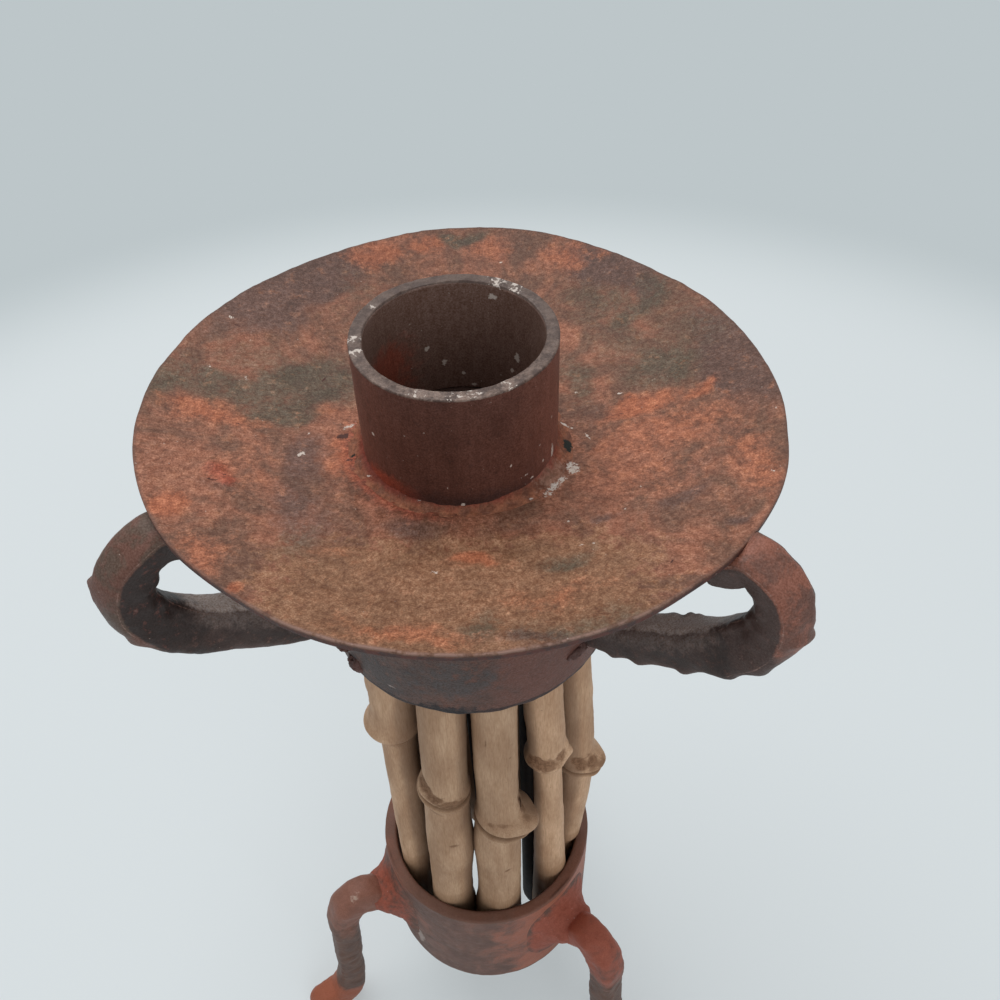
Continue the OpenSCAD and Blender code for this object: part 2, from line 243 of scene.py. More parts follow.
def ranged(tree, value, low, high, lowest, highest):
    # value from low to high becomes lowest to highest
    values = {0: value, 1: low, 2: high, 3: lowest, 4: highest}
    return addNode(tree, "ShaderNodeMapRange", values).outputs[0]


def product(tree, first, second):
    return addNode(tree, "ShaderNodeMath", {0: first, 1: second}, operation="MULTIPLY").outputs[0]


def total(tree, *parts):
    result = parts[0]
    for part in parts[1:]:
        result = addNode(tree, "ShaderNodeMath", {0: result, 1: part}, operation="ADD").outputs[0]
    return result


def blend(tree, share, first, second, mode="MIX"):
    return addNode(tree, "ShaderNodeMix", {0: share, 6: first, 7: second}, data_type="RGBA", blend_type=mode).outputs[2]


def shaded(tree, colour, noise, depth, low=0.35, high=0.65):
    # the colour made darker where a noise is low, and paler and greyer where it is high: green and
    # blue are multiplied by more than red
    share = ranged(tree, noise, low, high, 0, 1)
    dark, light = ((*(1 + side * depth * part for part in (0.73, 1, 1.2)), 1) for side in (-1, 1))
    return blend(tree, 1.0, colour, blend(tree, share, dark, light), "MULTIPLY")


def field(tree, name):
    return addNode(tree, "ShaderNodeAttribute", {}, attribute_name=name).outputs["Fac"]


def ragged(tree, mask, noise, reach, low=0.35, high=0.6):
    # a mask whose edge follows a noise
    moved = total(tree, mask, ranged(tree, noise, 0, 1, -reach, reach))
    return between(tree, moved, low, high)


def pushedOut(grid, push):
    # the grid of a bar with each point moved out along its normal
    normal = gridNormals(grid, False)
    facing = np.sign(np.sum((grid - grid.mean(axis=1, keepdims=True)) * normal, axis=-1, keepdims=True))
    return grid + normal * np.where(facing == 0, 1, facing) * push[..., None]


def addBump(tree, shader, height, depth):
    values = {"Height": height, "Distance": depth * mm, "Strength": 1.0}
    tree.links.new(addNode(tree, "ShaderNodeBump", values).outputs[0], shader.inputs["Normal"])


# Drip pan

pan = {
    "flatRadius": 18.2,
    "power": 1.5,
    "tilt": 1.0,          # how much higher the left rim stands than a level one
    "waves": 0.25,
    "grow": 0.35,         # how far the rim reaches past the CAD pan's
    "shift": [0.2, 0.2],  # and how far it is shifted to the right and to the back
    "edgeWobble": 0.21,
    # straighter stretches of the rim: depth, direction and half width in degrees
    "flats": [[0.6, 22, 32], [0.5, 52, 13], [1.35, 124, 24], [0.55, 156, 11], [0.5, -90, 45]],
    "corner": 0.18,
    "rows": 122,
    "columns": 420,
    "underRows": 36,
}


def panTop(x, y):
    # height of the pan's upper face: level in the middle, then rising with the distance from the
    # middle to a power, tilted more and more towards the rim, with slow waves
    outward = np.hypot(x - panMiddle[0], y - panMiddle[1])
    share = np.clip((outward - pan["flatRadius"]) / (panRadius - pan["flatRadius"]), 0, 1.1)
    rise = (panHigh[2]) * share ** pan["power"]
    tilt = -pan["tilt"] * (x / panRadius) * np.minimum(outward / panRadius, 1)
    points = np.stack([x, y, np.zeros_like(x)], -1)
    waves = pan["waves"] * lumps(points, 14, 3) * share
    return rise + tilt + waves


def rimRadius(angle):
    # outer radius of the rim in a direction: a circle a little off the middle, with straighter
    # stretches and a slight wobble
    radius = panRadius + pan["grow"] + pan["shift"][0] * np.cos(angle) + pan["shift"][1] * np.sin(angle)
    for depth, middle, width in pan["flats"]:
        away = np.degrees(np.angle(np.exp(1j * (angle - math.radians(middle)))))
        radius = radius - depth * hump((away / width) ** 2, 1)
    circle = np.stack([np.cos(angle) * 5, np.sin(angle) * 5, np.zeros_like(angle)], -1)
    return radius + pan["edgeWobble"] * lumps(circle, 1, 11)


# Patches on the pan: x, y, half length, half width, turn in degrees and strength
panPatches = {
    "green": [
        [-24, 12, 9, 5, 10, 1.0], [-36, 10, 11, 4, -8, 0.8], [-27, 6, 6, 3, 0, 0.9], [-44, 8, 3, 5, 0, 0.8],
        [30, 15, 5, 5, 30, 0.9], [29, 29, 8, 3, 50, 0.8], [25, 22, 5, 8, 0, 0.55], [35, 22, 6, 6, 0, 0.5],
        [0, 48, 4, 1.5, 0, 1.0], [-31, 17, 8, 4, 0, 0.5], [22, 30, 6, 4, -20, 0.7], [2.5, -36.5, 2.4, 1.8, 60, 0.8],
        [-16, 33, 4, 8, 0, 0.4], [17, 13, 2.5, 5, 0, 0.7], [-19.7, -21.4, 3, 3, 30, 0.6], [14.2, -23.6, 3, 1.6, 10, 0.8],
        [14, -37, 9, 2.5, 8, 0.6]],
    "purple": [
        [9, -38.4, 5, 1.3, 8, 0.9], [-28, 33.5, 12, 5.5, 42, 1.5], [25.5, 38.5, 8, 4.5, -33, 1.4], [40.5, 13, 4.5, 9, 10, 1.5], [-21, -4, 3, 5, 10, 0.9],
        [-22, -14, 3, 6, 5, 0.8], [-19, -18, 3, 3, 0, 0.6], [29.4, -14, 5, 1.1, 32, 0.8], [-7, -17, 3, 2, 0, 0.7],
        [35, -21.3, 1.8, 0.9, 0, 1.0], [15, -39, 9, 1.6, 14, 0.8], [19.5, -16.2, 2.2, 1, 10, 0.8],
        [-36, 27, 5, 6, 50, 0.5], [21, 40, 6, 3, -30, 0.6], [9, 46, 4, 3, 0, 0.4], [19, 6, 3, 3, 0, 0.5],
        [33, -8, 5, 1.2, 20, 0.5], [38, -3, 4, 1.5, -10, 0.5], [-33, -10.5, 2.5, 1.2, 0, 0.5]],
    "orange": [
        [-14, 43, 5, 3, 20, 1.0], [-6, 46, 3, 2, 0, 0.8], [5, 45, 4, 2, 0, 0.6], [17, 42, 4, 3, -20, 0.7],
        [-36, 4, 8, 2.2, -8, 0.8], [-38.1, -15.6, 2.2, 2.4, 20, 1.0], [-25.4, -31.1, 1.6, 1.1, -30, 1.0],
        [-30.4, -24.2, 4, 3, -40, 0.6], [25.5, 6.5, 5, 1.8, 18, 1.0], [35, 8, 3.5, 1.5, 25, 0.9],
        [30, 0, 12, 4, 8, 0.55], [2.6, -23.5, 3.4, 1.3, -5, 1.0], [40, -9, 3, 7, 10, 0.6],
        [-17, -22, 4, 2, 0, 0.4], [-15.5, -3, 2, 6, 20, 0.8], [-28, -8, 7, 6, 0, 0.3], [26, -8, 8, 5, 0, 0.4],
        [12, -31, 6, 2, 20, 0.5], [-6, -37, 8, 1.6, -6, 0.6], [23, 44, 2, 3, 0, 0.5], [-19.5, 6, 2.5, 2.5, 0, 0.5]],
    "pale": [
        [-36, 24.5, 0.55, 0.22, -35, 1.0], [-32.8, 20.6, 0.2, 0.2, 0, 0.9], [-37.5, 13.5, 0.3, 0.16, 0, 0.9],
        [-32.1, 12.3, 0.3, 0.16, -30, 0.9], [-40.5, 8.1, 0.2, 0.16, 0, 0.8], [-25.6, 22.1, 0.18, 0.2, 0, 0.7],
        [-21.8, 1.8, 0.2, 0.3, 0, 0.9], [-22.3, -2.7, 0.75, 0.45, 30, 0.8], [-28.2, -11.9, 0.16, 0.16, 0, 0.9],
        [-32.3, -16.4, 0.2, 0.16, 0, 0.8], [-17.8, -32.9, 0.25, 0.25, 0, 0.8], [24.2, -10.9, 0.45, 0.1, 45, 1.0],
        [21.5, -15.3, 0.16, 0.16, 0, 0.9], [15.1, -21.8, 0.4, 0.14, 35, 1.0], [16.9, -21.6, 0.16, 0.16, 0, 0.9],
        [13.9, -17.0, 0.35, 0.22, 0, 0.9], [-16.2, 3.6, 0.9, 0.25, 40, 1.1], [41.2, -11.7, 0.2, 0.25, 0, 1.0], [36.7, -22.6, 0.2, 0.2, 0, 0.8],
        [6.7, 41.7, 0.3, 0.25, 0, 0.8], [44.3, 0.5, 0.2, 0.2, 0, 0.7], [23.7, 9.3, 0.45, 0.18, 0, 0.9],
        [17.0, 10.2, 0.3, 0.2, 0, 0.9], [-3.0, -25.5, 0.55, 0.24, -8, 0.8], [15.3, 2.6, 1.2, 0.2, -42, 1.0],
        [18.1, 0.4, 0.8, 0.13, -62, 1.0], [15.6, -6.4, 0.8, 1.0, 0, 1.0], [14.0, -8.6, 0.6, 0.4, 30, 0.9],
        [12.8, -10.0, 1.1, 0.5, 40, 0.85], [11.8, -11.3, 0.8, 0.4, 20, 0.8], [27.1, 12.0, 0.3, 0.1, 30, 0.7],
        [29.1, 11.4, 0.35, 0.1, 20, 0.8], [31.0, 11.6, 0.3, 0.1, 30, 0.7], [9.7, -12.4, 0.3, 0.2, 30, 0.8],
        [-15.6, 4.2, 0.8, 0.16, 45, 0.9], [-12.4, -7.1, 0.4, 0.14, -30, 0.8], [-5, -12.6, 0.5, 0.14, 0, 0.7]],
    "dark": [
        [23.3, 4.6, 0.22, 0.2, 0, 1.0], [2, -15.5, 0.25, 0.18, 0, 0.8], [25.8, -26.5, 0.2, 0.16, 0, 0.9],
        [-31.6, 2.3, 0.3, 0.25, 0, 0.8], [-34.8, 23.3, 0.5, 0.3, 20, 0.8], [-40.1, 0.4, 0.3, 0.18, 0, 1.0],
        [-37.2, -3.4, 0.2, 0.15, 0, 0.9], [-34.8, -17.9, 0.18, 0.16, 0, 0.9], [-34.8, -19.2, 0.24, 0.18, 0, 0.9],
        [-17.0, 1.4, 0.9, 0.55, 25, 1.0], [-15.5, -3.6, 0.5, 0.25, 0, 0.8], [-21.0, 13.8, 0.9, 0.13, 70, 0.8], [-22.4, 13.0, 0.7, 0.12, -50, 0.7], [29.2, 27.4, 0.5, 0.13, -40, 0.9],
        [-33, -9.7, 0.8, 0.26, -8, 0.9], [-31.6, -8.6, 0.35, 0.3, 0, 0.7], [-44, 0, 0.3, 0.2, 0, 0.6],
        [28, -6, 0.12, 0.12, 0, 0.8], [18, -26, 0.16, 0.14, 0, 0.8]],
}


def patchField(points, patches, ripple, seed):
    # strongest of the patches at each point. A patch fades from 1 at its middle to 0 at twice its
    # half sizes, and a noise moves its edge
    moved = points + ripple * np.stack([roughField(points, 5, seed, 3), roughField(points, 5, seed + 9, 3),
                                        np.zeros(points.shape[:-1])], -1)
    result = np.zeros(points.shape[:-1])
    for x, y, length, width, turn, strength in patches:
        c, s = math.cos(math.radians(turn)), math.sin(math.radians(turn))
        dx, dy = moved[..., 0] - x, moved[..., 1] - y
        away = np.hypot((dx * c + dy * s) / length, (dy * c - dx * s) / width)
        result = np.maximum(result, strength * eased(away, 2.0, 0.2))
    return result


def makePan(material):
    # upper face out to the rim, a thin edge with small round corners, and the underside back to the
    # middle, as one grid. share is the place between the middle and the rim, over and drop are how far
    # the edge stands out from there and lies below the upper face
    angle = np.linspace(0, 2 * np.pi, pan["columns"], endpoint=False)[None, :]
    corner, thick = pan["corner"], sheetThickness
    bend = np.linspace(0, np.pi / 2, 5)
    face = np.linspace(corner, thick - corner, 5)[1:-1]
    top = np.linspace(0.006, 1, pan["rows"]) ** 0.8
    under = np.linspace(1, 0.01, pan["underRows"])[1:]
    share = np.concatenate([top, np.ones(12), under])[:, None]
    over = np.concatenate([0 * top, corner * np.sin(bend[1:]), corner + 0 * face, corner * np.cos(bend), 0 * under])[:, None]
    drop = np.concatenate([0 * top, corner - corner * np.cos(bend[1:]), face,
                           thick - corner + corner * np.sin(bend), thick + 0 * under])[:, None]
    radius = rimRadius(angle) - corner
    x = panMiddle[0] + (radius * share + over) * np.cos(angle)
    y = panMiddle[1] + (radius * share + over) * np.sin(angle)
    points = np.stack([x, y, np.zeros_like(x)], -1)
    upper = drop < thick / 2
    nub = 0.75 * hump(np.hypot((x + 33.2) / 1.3, y + 7.5), 1.1) + 0.3 * hump(np.hypot(x + 30.7, y + 9.9), 0.9)
    hollow = 0.45 * hump(np.hypot((x + 33.0) / 1.6, y + 9.5), 0.5) + 0.2 * hump(np.hypot(x + 34.8, y - 23.4), 0.6)
    relief = 0.07 * roughField(points, 1.6, 21, 3) + 0.06 * roughField(points, 4, 24, 2)
    z = panTop(x, y) - drop + (relief + nub - hollow) * upper
    grid = np.stack([x, y, z], -1)
    ripple = {"green": 1.6, "purple": 1.6, "orange": 1.6, "pale": 0.1, "dark": 0.08}
    fields = {key: [patchField(points, panPatches[key], size, 31)] for key, size in ripple.items()}
    front = eased(-y, 12, 26)
    fields["front"] = [front * eased(np.abs(x), 34, 14)]
    fields["east"] = [eased(x, 2, 14) * eased(y, -26, -16)]
    # painted shade: share of the darkening towards the back of the pan
    fields["back"] = [eased(y, 20, 42)]
    fields["edge"] = [eased(share, 0.992, 0.998) * eased(drop, 0.4, 0.15) * np.ones_like(x)]
    fields["lip"] = [eased(drop, 0.2, 0.45) * np.ones_like(x)]
    # painted shade: the pan seen down the cup's bore is made dark
    fields["cupFloorShade"] = [eased(np.hypot(x, y), cupRadius, cupRadius - 1.2)]
    nearCup = hump(np.hypot(x, y) - cupRadius, 3.4) * (0.3 + 0.65 * eased(-x, -4, 8))
    fields["red"] = [0.8 * hump(np.hypot(x + 32.6, y + 8.0), 1.9) + 0.9 * hump(np.hypot(x + 30.7, y + 9.9), 1.1)
                     + nearCup * eased(y, 12, 0)]
    return addPiece("dripPan", [grid], material, ["drip_pan"], fields)


def panMaterial():
    # brown rust with greenish, purple and orange patches, brush strokes, fine grit and pale flecks, with painted shade
    # towards the back and at the bottom of the cup
    material, tree, shader, place = startMaterial("pan rust", 0.62, 0.35)
    slow = grain(tree, place, 8, 6, 0.6, warp=0.8)
    middle = grain(tree, place, 1.9, 6, 0.7)
    small = grain(tree, place, 0.7, 4, 0.7)
    grit = grain(tree, place, 0.24, 2, 0.6)
    level = grain(tree, place, 0.3, 3, 0.6, stretch=(6, 1, 1), turn=(0, 0, -3))
    rising = grain(tree, place, 0.3, 3, 0.6, stretch=(6, 1, 1), turn=(0, 0, -24))
    steep = grain(tree, place, 0.36, 3, 0.6, stretch=(3.5, 1, 1), turn=(0, 0, -62))
    strokes = addNode(tree, "ShaderNodeMix", {0: field(tree, "east"), 2: level, 3: rising}).outputs[0]
    steepShare = product(tree, field(tree, "front"), between(tree, middle, 0.42, 0.54))
    strokes = addNode(tree, "ShaderNodeMix", {0: steepShare, 2: strokes, 3: steep}).outputs[0]
    colour = blend(tree, between(tree, slow, 0.36, 0.64), paint(114, 80, 63), paint(144, 91, 68))
    olive = ragged(tree, field(tree, "front"), middle, 0.9, 0.3, 0.8)
    colour = blend(tree, product(tree, olive, 0.8), colour, paint(132, 94, 67))
    edge = total(tree, product(tree, middle, 0.75), product(tree, small, 0.25))
    for name, tint, reach, strength in (("purple", paint(96, 70, 61), 0.8, 0.9), ("green", paint(80, 72, 58), 0.9, 0.85),
                                        ("orange", paint(170, 97, 65), 0.9, 0.75), ("red", paint(150, 66, 44), 0.8, 0.75)):
        mask = ragged(tree, field(tree, name), edge, reach, 0.15, 0.95)
        colour = blend(tree, product(tree, mask, strength), colour, tint)
    colour = blend(tree, product(tree, between(tree, middle, 0.53, 0.7), 0.4), colour, paint(156, 104, 76))
    colour = blend(tree, product(tree, between(tree, strokes, 0.55, 0.7), 0.12), colour, paint(176, 116, 80))
    colour = shaded(tree, colour, slow, 0.1, 0.4, 0.6)
    colour = shaded(tree, colour, middle, 0.25, 0.36, 0.64)
    colour = shaded(tree, colour, strokes, 0.11)
    colour = shaded(tree, colour, small, 0.34, 0.38, 0.62)
    colour = shaded(tree, colour, grit, 0.36)
    # painted shade: the colour is multiplied down to 0.84 towards the back
    colour = blend(tree, 1.0, colour, ranged(tree, field(tree, "back"), 0, 1, 1, 0.84), "MULTIPLY")
    frontEdge = product(tree, field(tree, "edge"), field(tree, "front"))
    colour = blend(tree, product(tree, field(tree, "edge"), 0.5), colour, paint(86, 62, 54))
    colour = blend(tree, product(tree, frontEdge, between(tree, middle, 0.4, 0.55)), colour, paint(138, 108, 96))
    lipTint = blend(tree, between(tree, middle, 0.42, 0.58), paint(66, 44, 40), paint(92, 54, 46))
    colour = blend(tree, field(tree, "lip"), colour, lipTint)
    # painted shade at the bottom of the cup
    colour = blend(tree, product(tree, field(tree, "cupFloorShade"), 0.9), colour, paint(52, 37, 32))
    salt = between(tree, grain(tree, place, 0.38, 2, 0.5), 0.75, 0.79)
    chip = grain(tree, place, 0.4, 3, 0.65)
    fleck = total(tree, ragged(tree, field(tree, "pale"), chip, 1.3, 0.55, 0.8), product(tree, salt, 0.65))
    colour = blend(tree, fleck, colour, paint(204, 190, 178))
    colour = blend(tree, ragged(tree, field(tree, "dark"), chip, 0.8, 0.45, 0.7), colour, paint(72, 34, 24))
    tree.links.new(colour, shader.inputs["Base Color"])
    tree.links.new(ranged(tree, middle, 0.3, 0.7, 0.5, 0.72), shader.inputs["Roughness"])
    height = total(tree, product(tree, strokes, 0.15), product(tree, grit, 0.25), product(tree, middle, 1.3))
    addBump(tree, shader, height, 0.18)
    return material


# Candle cup: wall seen from its axis, outside up, over the rim, inside down

cup = {
    "wall": 1.8,
    "columns": 300,
    "rows": 90,
    "corner": 0.22,
    # worn places on the rim: direction, half width in degrees and strength
    "chips": [[63, 6, 1.0], [49, 5, 0.85], [183, 4, 0.75], [196, 4, 0.85], [-82, 16, 0.6], [-58, 5, 0.6], [150, 3, 0.6],
              [-110, 5, 0.6]],
    # pale spots on the wall, those above 0 degrees inside: direction, height, half width in degrees, half height
    "spots": [[124, 13.0, 1.2, 0.25], [113, 8.0, 2.2, 0.45], [101, 5.0, 2.6, 0.5], [102, 11.6, 3.0, 0.2],
              [45, 7.9, 2.5, 0.9], [50, 5.2, 2.2, 0.45], [88, 2.7, 1.6, 0.35], [81, 0.7, 2.4, 0.4], [65, 16.7, 3.5, 0.5],
              [60, 3.4, 1.0, 0.3], [75, 4.5, 1.0, 0.2], [-143, 9, 1.6, 0.3], [-23, 2.4, 2.0, 1.6], [-25, 9, 1.2, 0.3],
              [-50, 3.0, 3, 0.16], [-45, 1.8, 2, 0.2], [-38, 6.5, 2, 0.15], [-122, 0.7, 1.2, 0.25], [-108, 0.5, 1.8, 0.25],
              [-88, 0.9, 1.6, 0.35],
              [-96, 4, 0.8, 0.2], [-60, 6, 0.8, 0.3], [-118, 12, 0.8, 0.25], [-35, 3, 1.0, 0.3]],
}


def wallGrid(radius, bore, low, high, corner, rows, columns, wobble, seed):
    # closed loop of a pipe's wall, turned round the axis: outside up, a rounded rim, inside down and a
    # rounded lower edge. wobble is how far the wall wanders
    rim = np.linspace(0, np.pi / 2, 5)
    up = np.linspace(low + corner, high - corner, rows)
    outR = np.concatenate([np.full(rows, radius), radius - corner + corner * np.cos(rim[1:])])
    outZ = np.concatenate([up, high - corner + corner * np.sin(rim[1:])])
    flat = np.linspace(radius - corner, bore + corner, 7)[1:-1]
    inR = np.concatenate([bore + corner - corner * np.sin(rim), np.full(rows // 2, bore)])
    inZ = np.concatenate([high - corner + corner * np.cos(rim), np.linspace(high - corner, low + corner, rows // 2)])
    footR = np.concatenate([bore + corner - corner * np.cos(rim[1:]), flat[::-1], radius - corner + corner * np.sin(rim[:-1])])
    footZ = np.concatenate([low + corner - corner * np.sin(rim[1:]), np.full(5, low), low + corner - corner * np.cos(rim[:-1])])
    r = np.concatenate([outR, flat, inR, footR])[:, None]
    z = np.concatenate([outZ, np.full(5, high), inZ, footZ])[:, None]
    angle = np.linspace(0, 2 * np.pi, columns, endpoint=False)[None, :]
    ball = np.stack([r * np.cos(angle), r * np.sin(angle), z + 0 * angle], -1)
    r = r + wobble * lumps(ball, 9, seed) + wobble * 0.35 * roughField(ball, 2.2, seed + 5, 3)
    return np.stack([r * np.cos(angle), r * np.sin(angle), z + 0 * angle], -1)


def makeCup(material):
    grid = wallGrid(cupRadius, cupRadius - cup["wall"], 0.02, cupHeight, cup["corner"], cup["rows"],
                    cup["columns"], 0.06, 41)
    height = grid[..., 2]
    dent = eased(height, cupHeight - 1.2, cupHeight)
    grid[..., 2] += 0.12 * dent * roughField(grid * [1, 1, 0.2], 2.5, 44, 3)
    outward = np.hypot(grid[..., 0], grid[..., 1])
    angle = np.degrees(np.arctan2(grid[..., 1], grid[..., 0]))

    def near(at, width):
        return hump(np.degrees(np.angle(np.exp(1j * np.radians(angle - at)))), width)

    rim = eased(height, cupHeight - 0.4, cupHeight - 0.08)
    chips = sum(strength * near(at, width) for at, width, strength in cup["chips"])
    spots = sum(hump(np.hypot(np.degrees(np.angle(np.exp(1j * np.radians(angle - at)))) / wide, (height - up) / tall), 1)
                for at, up, wide, tall in cup["spots"])
    inside = eased(outward, cupRadius - cup["wall"] * 0.4, cupRadius - cup["wall"] * 0.8)
    spots = spots * np.where(angle > 0, inside, 1 - inside)
    fields = {"rim": [rim], "chips": [rim * chips], "inside": [inside], "spots": [spots], "near": [near(-90, 70)],
              "foot": [eased(height, 6, 0.5) * (1 - inside)],
              "side": [near(-134, 26)], "warm": [near(148, 26) * eased(height, 15, 9)],
              # lit: painted light on both sides of the outer wall
              "lit": [(near(-168, 34) + near(-12, 38)) * (1 - inside)]}
    return addPiece("candleCup", [grid], material, ["candle_cup"], fields, closedRows=True)


def cupMaterial():
    # dark red-brown pipe with upright streaks, a worn brown-grey rim and a few chips of white. Painted light makes the
    # outer wall paler at both sides, painted shade darkens the front of the foot, and the rim's front is lightened as a
    # painted highlight
    material, tree, shader, place = startMaterial("cup rust", 0.5, 0.4)
    slow = grain(tree, place, 5, 5, 0.6, stretch=(1, 1, 2.2))
    streak = grain(tree, place, 0.6, 3, 0.5, stretch=(1, 1, 8))
    grit = grain(tree, place, 0.24, 3, 0.6)
    middle = grain(tree, place, 1.3, 6, 0.7)
    colour = blend(tree, between(tree, slow, 0.36, 0.64), paint(78, 47, 39), paint(89, 54, 44))
    colour = blend(tree, product(tree, between(tree, middle, 0.45, 0.28), 0.4), colour, paint(56, 36, 33))
    rusty = product(tree, field(tree, "foot"), total(tree, field(tree, "side"), 0.15))
    rusty = ragged(tree, rusty, total(tree, product(tree, slow, 0.5), product(tree, middle, 0.5)), 0.9, 0.3, 0.95)
    colour = blend(tree, product(tree, rusty, 0.85), colour, paint(140, 62, 42))
    # painted shade: the front of the cup's foot, where it meets the weld, is darkened
    footShade = product(tree, field(tree, "foot"), field(tree, "near"))
    colour = blend(tree, product(tree, ragged(tree, footShade, middle, 0.7, 0.3, 1.1), 0.75), colour, paint(44, 30, 29))
    inner = blend(tree, ragged(tree, field(tree, "warm"), middle, 0.8, 0.2, 1.0), paint(116, 90, 79), paint(140, 76, 60))
    colour = blend(tree, field(tree, "inside"), colour, inner)
    # painted light: the outer wall is multiplied up to 1.9 at both sides
    colour = blend(tree, 1.0, colour, ranged(tree, field(tree, "lit"), 0, 1, 1.0, 1.9), "MULTIPLY")
    colour = shaded(tree, colour, streak, 0.1)
    colour = shaded(tree, colour, middle, 0.12)
    colour = shaded(tree, colour, grit, 0.4)
    # the rim's brown-grey wear is real; its paler front is a painted highlight
    front = blend(tree, field(tree, "near"), paint(98, 80, 71), paint(128, 107, 96))
    worn = blend(tree, between(tree, middle, 0.38, 0.62), paint(74, 56, 49), front)
    worn = shaded(tree, worn, grit, 0.25)
    colour = blend(tree, ragged(tree, field(tree, "rim"), middle, 0.3, 0.35, 0.6), colour, worn)
    patchy = grain(tree, place, 0.6, 4, 0.7)
    white = total(tree, ragged(tree, field(tree, "chips"), patchy, 1.8, 0.7, 0.95),
                  ragged(tree, field(tree, "spots"), patchy, 0.9, 0.45, 0.65))
    salt = between(tree, grain(tree, place, 0.45, 2, 0.5, stretch=(1, 1, 1.3)), 0.75, 0.79)
    colour = blend(tree, total(tree, white, product(tree, salt, 0.6)), colour, paint(200, 188, 178))
    tree.links.new(colour, shader.inputs["Base Color"])
    tree.links.new(ranged(tree, slow, 0.3, 0.7, 0.42, 0.62), shader.inputs["Roughness"])
    addBump(tree, shader, total(tree, product(tree, streak, 0.5), product(tree, grit, 0.5), slow), 0.08)
    return material


# Weld round the cup's foot

cupWeldSize = {"width": 2.5, "height": 2.1, "columns": 420, "rows": 34}


def makeCupWeld(material):
    # hollow fillet: height falls from the cup's wall to the pan as the cube of the share still to go.
    # Lumps, two pits and a few ridges are added by direction
    angle = np.linspace(0, 2 * np.pi, cupWeldSize["columns"], endpoint=False)[None, :]
    degrees = np.degrees(angle)
    circle = np.stack([np.cos(angle) * 14, np.sin(angle) * 14, np.zeros_like(angle)], -1)
    ragRim = lumps(circle, 3, 51) * 0.5 + lumps(circle, 1.2, 52) * 0.25

    def near(at, width):
        return hump(np.degrees(np.angle(np.exp(1j * np.radians(degrees - at)))), width)

    width = cupWeldSize["width"] * (0.62 + 0.12 * ragRim + 0.42 * near(173, 16) + 0.45 * near(-24, 26) + 0.3 * near(200, 10))
    height = cupWeldSize["height"] * (0.6 + 0.15 * ragRim + 0.5 * near(176, 14) + 0.5 * near(-6, 16) + 0.25 * near(-30, 12))
    share = np.linspace(0, 1, cupWeldSize["rows"])[:, None]
    r = cupRadius - 0.25 + (width + 0.25) * share
    x, y = r * np.cos(angle), r * np.sin(angle)
    z = panTop(x, y) + height * (1 - share) ** 2.2 + 0.03
    points = np.stack([x, y, z], -1)
    bead = 0.26 * roughField(points, 1.2, 55, 4) * np.sin(np.pi * np.clip(share, 0, 1)) ** 0.5
    pitRight = hump(np.hypot((x - 15.1) / 0.75, (y + 1.6) / 1.7), 0.8)
    pitLeft = hump(np.hypot((x + 16.6) / 1.1, (y - 1.9) / 1.0), 0.8)
    pitSmall = hump(np.hypot(x + 15.0, y + 3.1), 0.5)
    z = z + bead - 2.2 * pitRight - 1.1 * pitLeft - 0.5 * pitSmall
    z = z + 0.5 * hump(np.hypot(x + 17.6, y - 2.4), 0.5) + 0.6 * hump(np.hypot(x - 16.2, y + 1.5), 0.6)
    z = np.maximum(z, panTop(x, y) + 0.02 * (1 - share))
    topSide = np.stack([x, y, z], -1)
    below = np.stack([x[::-1], y[::-1], (panTop(x, y) - 0.3)[::-1]], -1)
    grid = np.concatenate([topSide, below[::6]])
    gone = np.zeros(below[::6].shape[:2])
    fields = {
        "hole": [np.concatenate([np.maximum(pitRight, pitSmall), gone])],
        "paintedShade": [gone[:1, :1]],
        # red strongest against the cup wall: partly red rust, partly painted shade in the crease
        "red": [np.concatenate([np.maximum(pitLeft, 0.75 * (1 - share) ** 1.5 + 0.5 * near(212, 30) * (1 - share)), gone])],
        "pale": [np.concatenate([patchField(topSide, panPatches["pale"], 0.3, 33), gone])],
        "grey": [np.concatenate([0.8 * near(-33, 14) + 0 * x, gone])]}
    return addPiece("cupWeld", [grid], material, ["cup_weld"], fields, closedRows=True)


def weldMaterial(name, first, second, red, depth):
    # rough weld metal under rust, with dark pits, red hollows (on the cup's weld partly painted shade), pale chips
    # and a darker painted shade where a field says so. depth is how strongly its lumps show
    material, tree, shader, place = startMaterial(name, 0.66, 0.35)
    slow = grain(tree, place, 2.4, 6, 0.7)
    small = grain(tree, place, 0.8, 5, 0.75)
    grit = grain(tree, place, 0.32, 4, 0.8)
    colour = blend(tree, between(tree, slow, 0.36, 0.64), first, second)
    # painted shade: welds tucked under the pan and inside the bundle are darkened
    colour = blend(tree, product(tree, ragged(tree, field(tree, "paintedShade"), small, 0.6), 0.9), colour, paint(86, 62, 58))
    colour = blend(tree, product(tree, ragged(tree, field(tree, "grey"), small, 0.9), 0.6), colour, paint(140, 108, 92))
    colour = blend(tree, product(tree, ragged(tree, field(tree, "red"), slow, 0.9, 0.2, 0.9), 0.85), colour, red)
    colour = shaded(tree, colour, slow, 0.6 * depth)
    colour = shaded(tree, colour, small, depth, 0.38, 0.62)
    colour = shaded(tree, colour, grit, 0.9 * depth)
    salt = between(tree, grain(tree, place, 0.42, 2, 0.5), 0.73, 0.78)
    chips = total(tree, ragged(tree, field(tree, "pale"), grit, 1.0, 0.45, 0.7), product(tree, salt, 0.7))
    colour = blend(tree, chips, colour, paint(208, 196, 186))
    colour = blend(tree, ragged(tree, field(tree, "hole"), small, 0.9, 0.3, 0.5), colour, paint(24, 28, 22))
    tree.links.new(colour, shader.inputs["Base Color"])
    addBump(tree, shader, total(tree, slow, product(tree, small, 0.8), product(tree, grit, 0.3)), 0.9 * depth)
    return material


# The two pipes

